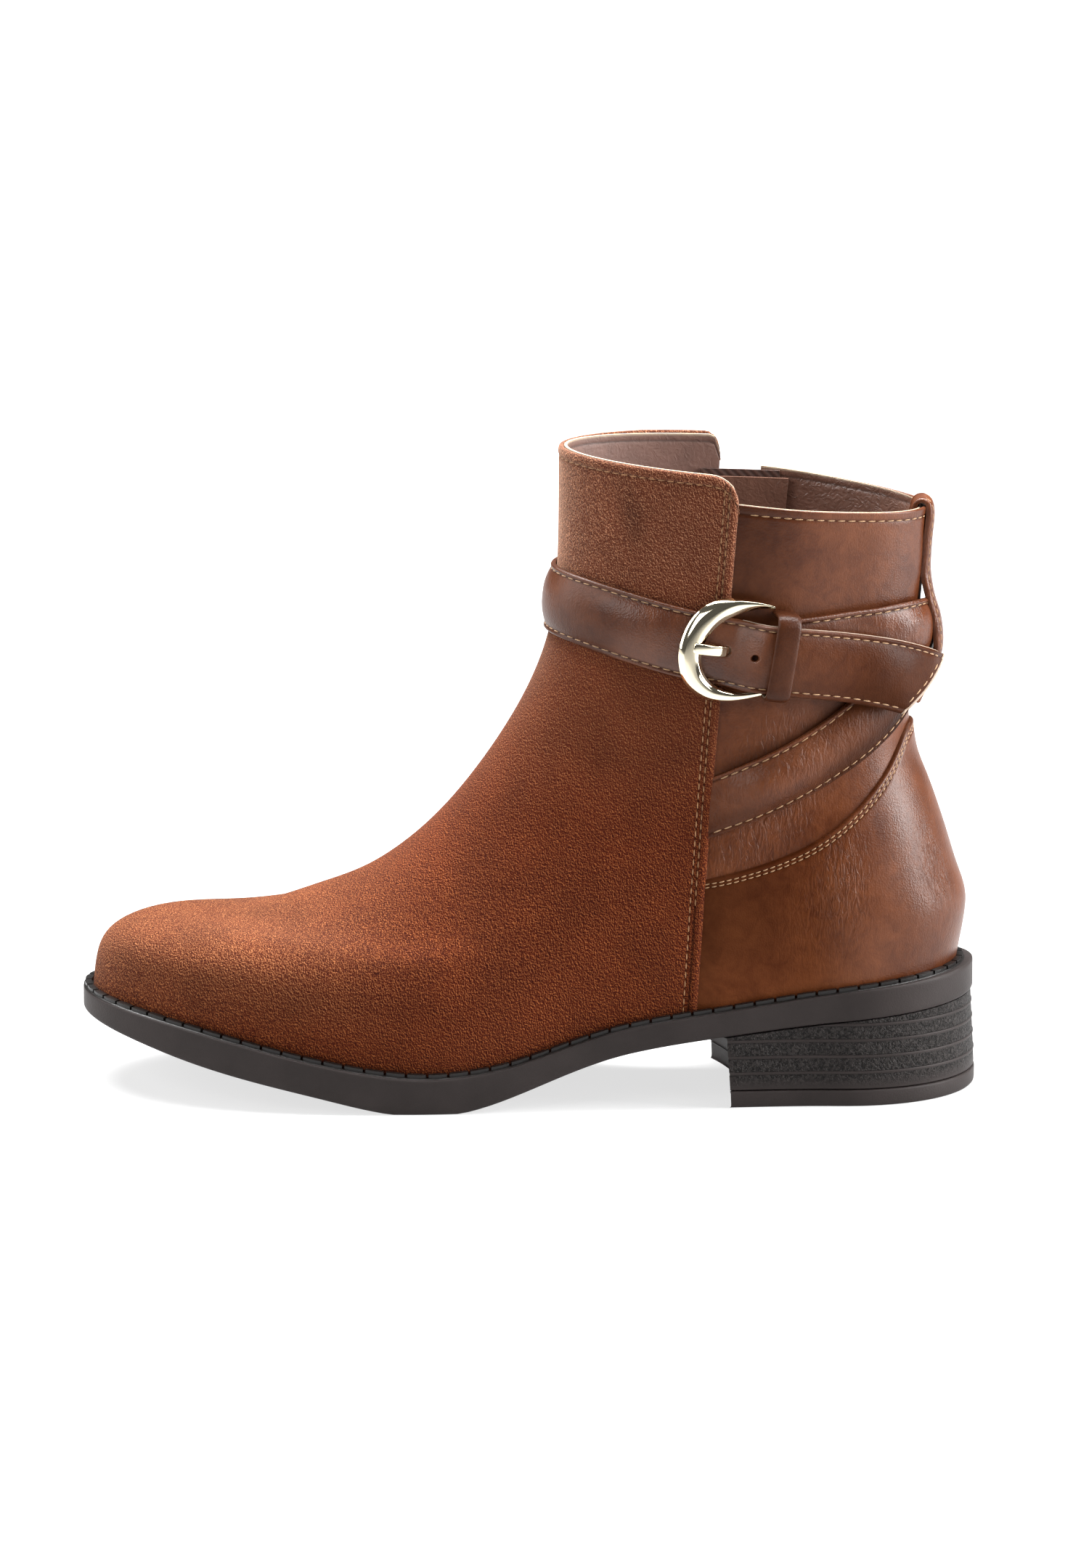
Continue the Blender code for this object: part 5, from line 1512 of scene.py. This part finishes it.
def plan(u, medial, inset):
    """Points of the sole's outline, drawn in by the inset."""
    long = SOLE_LENGTH - 2 * inset
    values = [(row.medial if medial else row.lateral) - inset for row in SOLE_PLAN]
    nose = SOLE_NOSE[1 if medial else 0] - inset
    half = along_stations(u, *values) * rounded(u * long, nose)
    half = half * rounded((1 - u) * long, SOLE_TAIL - inset)
    axis = TOE_Y * (1 - u) + HEEL_Y * u
    return SOLE_FRONT + inset + long * u, axis + (half if medial else -half), axis


def sole_ring(inset, height, share=1.0, count=130):
    """Closed outline of the sole; share draws it towards its middle line."""
    u = 0.5 - 0.5 * np.cos(np.linspace(0.0, math.pi, count))
    rings = []
    for medial, places in ((False, u), (True, u[::-1][1:])):
        x, y, axis = plan(places, medial, inset)
        rings.append(np.column_stack([x, axis + (y - axis) * share, height(x)]))
    return np.concatenate(rings)


class BOOT_OT_sole(bpy.types.Operator):
    """Outsole and the welt's row of blocks round the upper"""
    bl_idname = "boot.sole"
    bl_label = "Sole and welt"

    def execute(self, context):
        made = finishes(context.scene)
        rings = [sole_ring(1.0, sole_under, share) for share in (0.0, 0.4, 0.75, 0.95)]
        lower = ((1.0, 0.0), (0.6, 0.1), (0.25, 0.35), (0.06, 0.7), (0.0, 1.0), (0.0, 2.0))
        upper = ((0.0, 1.4), (0.0, 0.7), (0.1, 0.3), (0.35, 0.06), (0.7, 0.0), (2.2, 0.0), (4.0, 0.0))
        for inset, rise in lower:
            rings.append(sole_ring(inset, lambda x, rise=rise: sole_under(x) + rise))
        for share in (0.4, 0.7):
            rings.append(sole_ring(0.0, lambda x, s=share: sole_under(x) * (1 - s) + sole_top(x) * s))
        for inset, drop in upper:
            rings.append(sole_ring(inset, lambda x, drop=drop: sole_top(x) - drop))
        rings += [sole_ring(4.0, sole_top, share) for share in (0.85, 0.4, 0.0)]
        outsole = lay("rubber_outsole", np.stack(rings), {"band": 0.0}, True)
        finish(outsole, made["rubber"], "sole_rubber", ["outsole"], 50.0)
        self.welt(context.scene, made)
        return {"FINISHED"}

    def welt(self, scene, made):
        """Polished band on the ledge, and a row of small blocks with slots between them."""
        look = scene.boot_sole
        up = np.array([0.0, 0.0, 1.0])
        wide, high, near = 2.1, 1.3, 0.1
        ways = np.linspace(0.0, 2.0, 361)
        profile = ((1.1, 0.02), (1.1, 0.3), (1.6, 0.34), (3.6, 0.28), (3.9, 0.02))
        rings = []
        for reach, rise in profile + profile[:1]:
            ring = skin(0.0, ways, reach, True)
            ring[:, 2] = sole_top(ring[:, 0]) + rise
            rings.append(ring)
        base = lay("welt_band", np.stack(rings)[::-1], {"band": 0.0}, True)
        edit(bpy.ops.mesh.normals_make_consistent, inside=False)
        finish(base, made["welt"], "sole_rubber", ["welt"], 50.0)
        path = skin(0.0, ways, 2.5, True)
        path[:, 2] = sole_top(path[:, 0]) + 0.8
        total = runs(path)[-1]
        count = int(total / (look.block_pitch / MM))
        bpy.ops.object.select_all(action="DESELECT")
        bpy.ops.mesh.primitive_cube_add(size=MM)
        block = bpy.context.object
        edit(bpy.ops.mesh.subdivide, number_cuts=2)
        long = look.block_long / MM

        def place_at(start):
            def place(shape):
                at = start + shape[:, 0] * long
                middle = along_path(path, path, at)
                side = unit(np.cross(along_path(path, path, at + near) - middle, up))
                ends, sides = np.abs(shape[:, 0:1]) > 0.4, np.abs(shape[:, 1:2]) > 0.4
                puff = np.where(ends | sides, 0.75, 1.0)
                rise = up * shape[:, 2:3] * high * puff
                return middle + side * shape[:, 1:2] * wide * np.where(ends, 0.84, 1.0) + rise
            return place

        starts = (np.arange(count) + 0.5) * total / count
        blocks = copies("welt_blocks", block, [place_at(start) for start in starts])
        finish(blocks, made["welt"], "sole_rubber", (), 35.0)


def heel_ring(inset, z, count=56):
    """Outline of the heel at one height, with its hollow breast."""
    lean = (LEAN_FROM - z) * HEEL_LEAN
    flare = (FLARE_FROM - z) * HEEL_FLARE
    sides = []
    for medial in (False, True):
        x0 = BREAST_X + lean + (-BREAST_SLANT if medial else BREAST_SLANT)
        begin = math.acos(1 - 2 * (x0 - SOLE_FRONT) / SOLE_LENGTH)
        u = 0.5 - 0.5 * np.cos(np.linspace(begin, math.pi, count))
        x, y, _ = plan(u, medial, inset - flare)
        sides.append(np.column_stack([x, y]))
    outline = np.concatenate([sides[0], sides[1][-2::-1]])
    share = np.linspace(0.0, 1.0, BREAST_POINTS + 1)[1:]
    start, end = outline[-1], outline[0]
    face = start + (end - start) * share[:, None]
    face[:, 0] += BREAST_HOLLOW * (1 - (2 * share - 1) ** 2)
    outline = np.concatenate([outline, face])
    return np.column_stack([outline, np.full(len(outline), z)])


def to_middle(ring, share):
    """Ring drawn towards its own middle."""
    middle = ring.mean(axis=0)
    return middle + (ring - middle) * np.array([share, share, 1.0])


class BOOT_OT_heel(bpy.types.Operator):
    """Stacked heel with rough bands between smooth ribs, and its top lift"""
    bl_idname = "boot.heel"
    bl_label = "Heel"

    def execute(self, context):
        made = finishes(context.scene)
        foot = LIFT_HIGH + GAP
        # Inset, height and roughness of each ring
        levels = [(0.9, foot, 0.0), (0.62, foot + 0.25, 0.0), (0.55, LIFT_HIGH + 1.0, 0.0)]
        rib = ((0.5, -1.0, 1.0), (0.5, -0.55, 1.0), (0.36, -0.4, 0.0), (0.28, -0.15, 0.0), (0.28, 0.15, 0.0),
               (0.36, 0.4, 0.0), (0.5, 0.55, 1.0), (0.5, 1.0, 1.0), (0.48, 2.3, 1.0))
        for height in RIB_HEIGHTS:
            levels += [(inset, height + rise, rough) for inset, rise, rough in rib]
        levels += [(0.48, 29.0, 1.0), (0.48, HEEL_TOP, 1.0)]
        rings = [to_middle(heel_ring(0.9, foot), share) for share in (0.0, 0.5)]
        rings += [heel_ring(inset, z) for inset, z, _ in levels]
        rings += [to_middle(rings[-1], share) for share in (0.5, 0.0)]
        grid = np.stack(rings)
        grid[..., 2] = np.minimum(grid[..., 2], sole_under(grid[..., 0]) - 0.2)
        band = np.array([0.0, 0.0] + [rough for _, _, rough in levels] + [0.0, 0.0])
        points = grid.shape[1]
        band = band[:, None] * (np.arange(points) < points - BREAST_POINTS - 1)
        heel = lay("stacked_heel", grid, {"band": band}, True)
        finish(heel, made["rubber"], "sole_rubber", ["heel_stack"], 40.0)
        levels = ((1.6, 0.0), (1.15, 0.12), (0.8, 0.5), (0.62, 1.2), (0.42, 4.3), (0.5, 4.75),
                  (0.8, LIFT_HIGH))
        rings = [to_middle(heel_ring(1.6, 0.0), share) for share in (0.0, 0.5, 0.95)]
        rings += [heel_ring(inset, z) for inset, z in levels]
        rings += [to_middle(rings[-1], share) for share in (0.5, 0.0)]
        lift = lay("heel_top_lift", np.stack(rings), {"band": 0.0}, True)
        finish(lift, made["rubber"], "sole_rubber", ["top_lift"], 40.0)
        return {"FINISHED"}


# Zip


ZIP_MIDDLE = SLOT_WIDE / 2 - SLOT_FORWARD
Strip = namedtuple("Strip", "name node slot material half lift thick start stop_z")
ZIP_STRIPS = (
    Strip("zip_tape_cloth", "zip_tape", "zip_fabric", "tape", 12.0, -1.8, 0.7, 4.1, 179.0),
    Strip("zip_guard_flap", "zip_guard", "insole_leather", "facing", 15.0, -3.0, 1.0, 4.3, 177.0),
)


class BOOT_OT_zip(bpy.types.Operator):
    """Zip on the inner side: tape, guard behind it and two rows of teeth"""
    bl_idname = "boot.zip"
    bl_label = "Zip"

    def execute(self, context):
        made = finishes(context.scene)
        for strip in ZIP_STRIPS:
            self.strip(strip, made)
        self.teeth(made)
        for name, material in (("insole", "lining"), ("zip_slider", "brass"), ("zip_pull", "brass")):
            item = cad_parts[name]
            item.data.materials.clear()
            item.data.materials.append(made[material])
        return {"FINISHED"}

    def strip(self, strip, made):
        """Sheet behind the zip's slot, from a row of the last up to a height."""
        lines = [edge_curve(ZIP_MIDDLE + x, True) for x in np.linspace(strip.half, -strip.half, 25)]
        stop = float(row_at(lines[len(lines) // 2](10.0), strip.stop_z))
        body = np.linspace(strip.start, stop - 0.06, 60)
        rows = np.concatenate([body, stop - np.array([0.04, 0.028, 0.018, 0.0])])
        way = np.stack([line(rows) for line in lines], -1)
        item = wall(lay(strip.name, skin(rows[:, None], way, strip.lift), {"seam": 0.0}), strip.thick)
        finish(item, made[strip.material], strip.slot, [strip.node])

    def teeth(self, made):
        """Two rows of small teeth that mesh along the middle of the slot."""
        line = edge_curve(ZIP_MIDDLE, True)
        rows = np.linspace(4.9, float(row_at(line(10.0), ZIP_STRIPS[0].stop_z)), 200)
        path = skin(rows, line(rows), -0.9)
        out = outward(rows, line(rows))
        total = runs(path)[-1]
        bpy.ops.object.select_all(action="DESELECT")
        bpy.ops.mesh.primitive_cube_add(size=MM)
        tooth = bpy.context.object
        edit(bpy.ops.mesh.bevel, offset=0.14 * MM, segments=1, affect="EDGES")
        pitch, wide, high, stagger, near = 1.15, 2.7, 1.5, 0.75, 0.2

        def place_at(number):
            at = np.array([(number + 0.5) * pitch])
            side_step = stagger if number % 2 else -stagger

            def place(shape):
                middle = along_path(path, path, at)
                along = unit(along_path(path, path, at + near) - middle)
                normal = unit(along_path(path, out, at))
                side = np.cross(normal, along)
                beside = side * (side_step + shape[:, 1:2] * wide)
                return middle + along * shape[:, 0:1] + beside + normal * shape[:, 2:3] * high
            return place

        teeth = copies("zip_teeth", tooth, [place_at(k) for k in range(int(total / pitch))])
        finish(teeth, made["brass"], "zip_brass", ["zip_chain"], 35.0)


# Stage


# Lights and camera, in metres; lens and sensor in millimetres
Lamp = namedtuple("Lamp", "name place aim size watts")
CAMERA_PLACE, CAMERA_AIM = (0.0, -3.3885, 0.8763), (0.0049, 0.0218, 0.0844)
LENS, SENSOR = 179.84, 24.0


def point(scene, name, data, place, aim):
    """Put a light or a camera in the scene, turned towards its aim."""
    item = bpy.data.objects.new(name, data)
    item.location = place
    item.rotation_euler = (Vector(aim) - Vector(place)).to_track_quat("-Z", "Y").to_euler()
    scene.collection.objects.link(item)
    return item


class BOOT_OT_stage(bpy.types.Operator):
    """White floor, soft studio lights and the camera at the photograph's angle"""
    bl_idname = "boot.stage"
    bl_label = "Stage"

    def execute(self, context):
        look = context.scene.boot_stage
        self.floor(look)
        self.lights(context.scene, look)
        self.camera(context.scene)
        return {"FINISHED"}

    def floor(self, look):
        """Floor that glows away from the boot and goes dark towards the camera, for the metal to mirror."""
        bpy.ops.object.select_all(action="DESELECT")
        bpy.ops.mesh.primitive_grid_add(x_subdivisions=4, y_subdivisions=4, size=14.0)
        item = bpy.context.object
        item.name = "studio_floor"
        # Lit white acrylic, as on a product table: it stays white under the boot's soft shadow
        # Painted light: the floor glows like lit acrylic, less near the boot so that its soft shadow shows
        material, tree, shader = start_material("lit white acrylic")
        spot = add(tree, "TexCoord").outputs["Object"]
        away = add(tree, "VectorMath", {"operation": "LENGTH"}, {0: spot})
        glow = add(tree, "MapRange", {**SOFT, "From Min": 0.25, "From Max": 1.2,
                                      "To Min": look.glow, "To Max": 1.05}, {"Value": away.outputs["Value"]})
        parts = add(tree, "SeparateXYZ", {}, {0: spot})
        front = add(tree, "MapRange", {**SOFT, "From Min": -1.0, "From Max": -0.62,
                                       "To Min": 0.12, "To Max": 1.0}, {"Value": parts.outputs["Y"]})
        shown = add(tree, "Math", {"operation": "MULTIPLY"}, {0: glow.outputs[0], 1: front.outputs[0]})
        tree.links.new(shown.outputs[0], shader.inputs["Emission Strength"])
        shader.inputs["Base Color"].default_value = (*look.floor, 1)
        shader.inputs["Roughness"].default_value = 0.5
        shader.inputs["Emission Color"].default_value = (1, 1, 1, 1)
        item.data.materials.append(material)

    def lights(self, scene, look):
        """Soft lights round the boot, in a white surround."""
        lamps = (
            Lamp("top_softbox", (0.0, 0.4, 1.45), (0.0, 0.0, 0.05), (1.8, 1.0), look.key),
            Lamp("heel_softbox", (1.35, -0.15, 0.6), (0.05, 0.0, 0.08), (0.5, 1.2), look.side * 2.0),
            Lamp("toe_softbox", (-1.4, 0.1, 0.7), (-0.05, 0.0, 0.08), (0.5, 1.2), look.side * 0.5),
            Lamp("left_fill", (-1.5, -1.3, 1.2), (0.0, 0.0, 0.08), (1.2, 1.2), look.side * 1.1),
            Lamp("right_fill", (1.6, -1.3, 1.0), (0.0, 0.0, 0.08), (1.0, 1.0), look.side * 0.5),
        )
        for lamp in lamps:
            light = bpy.data.lights.new(lamp.name, "AREA")
            light.shape = "RECTANGLE"
            light.size, light.size_y = lamp.size
            light.energy = lamp.watts
            point(scene, lamp.name, light, lamp.place, lamp.aim)
        world = bpy.data.worlds.new("white surround")
        world.use_nodes = True
        back = world.node_tree.nodes["Background"]
        back.inputs["Color"].default_value = (1, 1, 1, 1)
        back.inputs["Strength"].default_value = look.sky
        scene.world = world
        scene.view_settings.view_transform = "Standard"

    def camera(self, scene):
        """Long lens, looking down a little from the outer side."""
        lens = bpy.data.cameras.new("camera")
        lens.sensor_fit = "VERTICAL"
        lens.sensor_height = SENSOR
        lens.lens = LENS
        scene.camera = point(scene, "camera", lens, CAMERA_PLACE, CAMERA_AIM)


MAKERS = (
    BOOT_OT_sole,
    BOOT_OT_heel,
    BOOT_OT_lining,
    BOOT_OT_quarter,
    BOOT_OT_counter,
    BOOT_OT_vamp,
    BOOT_OT_straps,
    BOOT_OT_buckle,
    BOOT_OT_back_loop,
    BOOT_OT_zip,
    BOOT_OT_stage,
)


class BOOT_PT_panel(bpy.types.Panel):
    """Lists the boot's pieces and their settings"""
    bl_label = "Buckle ankle boot"
    bl_idname = "BOOT_PT_panel"
    bl_space_type = "VIEW_3D"
    bl_region_type = "UI"
    bl_category = "Boot"

    def draw(self, context):
        for maker in MAKERS:
            self.layout.operator(maker.bl_idname)
        for key, group in SETTINGS:
            box = self.layout.box()
            for name in group.__annotations__:
                box.prop(getattr(context.scene, key), name)


SETTINGS = (
    ("boot_suede", BootSuede),
    ("boot_leather", BootLeather),
    ("boot_sole", BootSole),
    ("boot_trim", BootTrim),
    ("boot_stage", BootStage),
)


def register():
    """Add the settings, the operators and the panel to Blender."""
    for key, group in SETTINGS:
        bpy.utils.register_class(group)
        setattr(bpy.types.Scene, key, bpy.props.PointerProperty(type=group))
    for item in MAKERS + (BOOT_PT_panel,):
        bpy.utils.register_class(item)


def unregister():
    """Take them away again."""
    for item in (BOOT_PT_panel,) + MAKERS[::-1]:
        bpy.utils.unregister_class(item)
    for key, group in SETTINGS[::-1]:
        delattr(bpy.types.Scene, key)
        bpy.utils.unregister_class(group)


def main():
    """Make every piece."""
    register()
    for maker in MAKERS:
        group, name = maker.bl_idname.split(".")
        getattr(getattr(bpy.ops, group), name)()


if __name__ == "__main__":
    main()
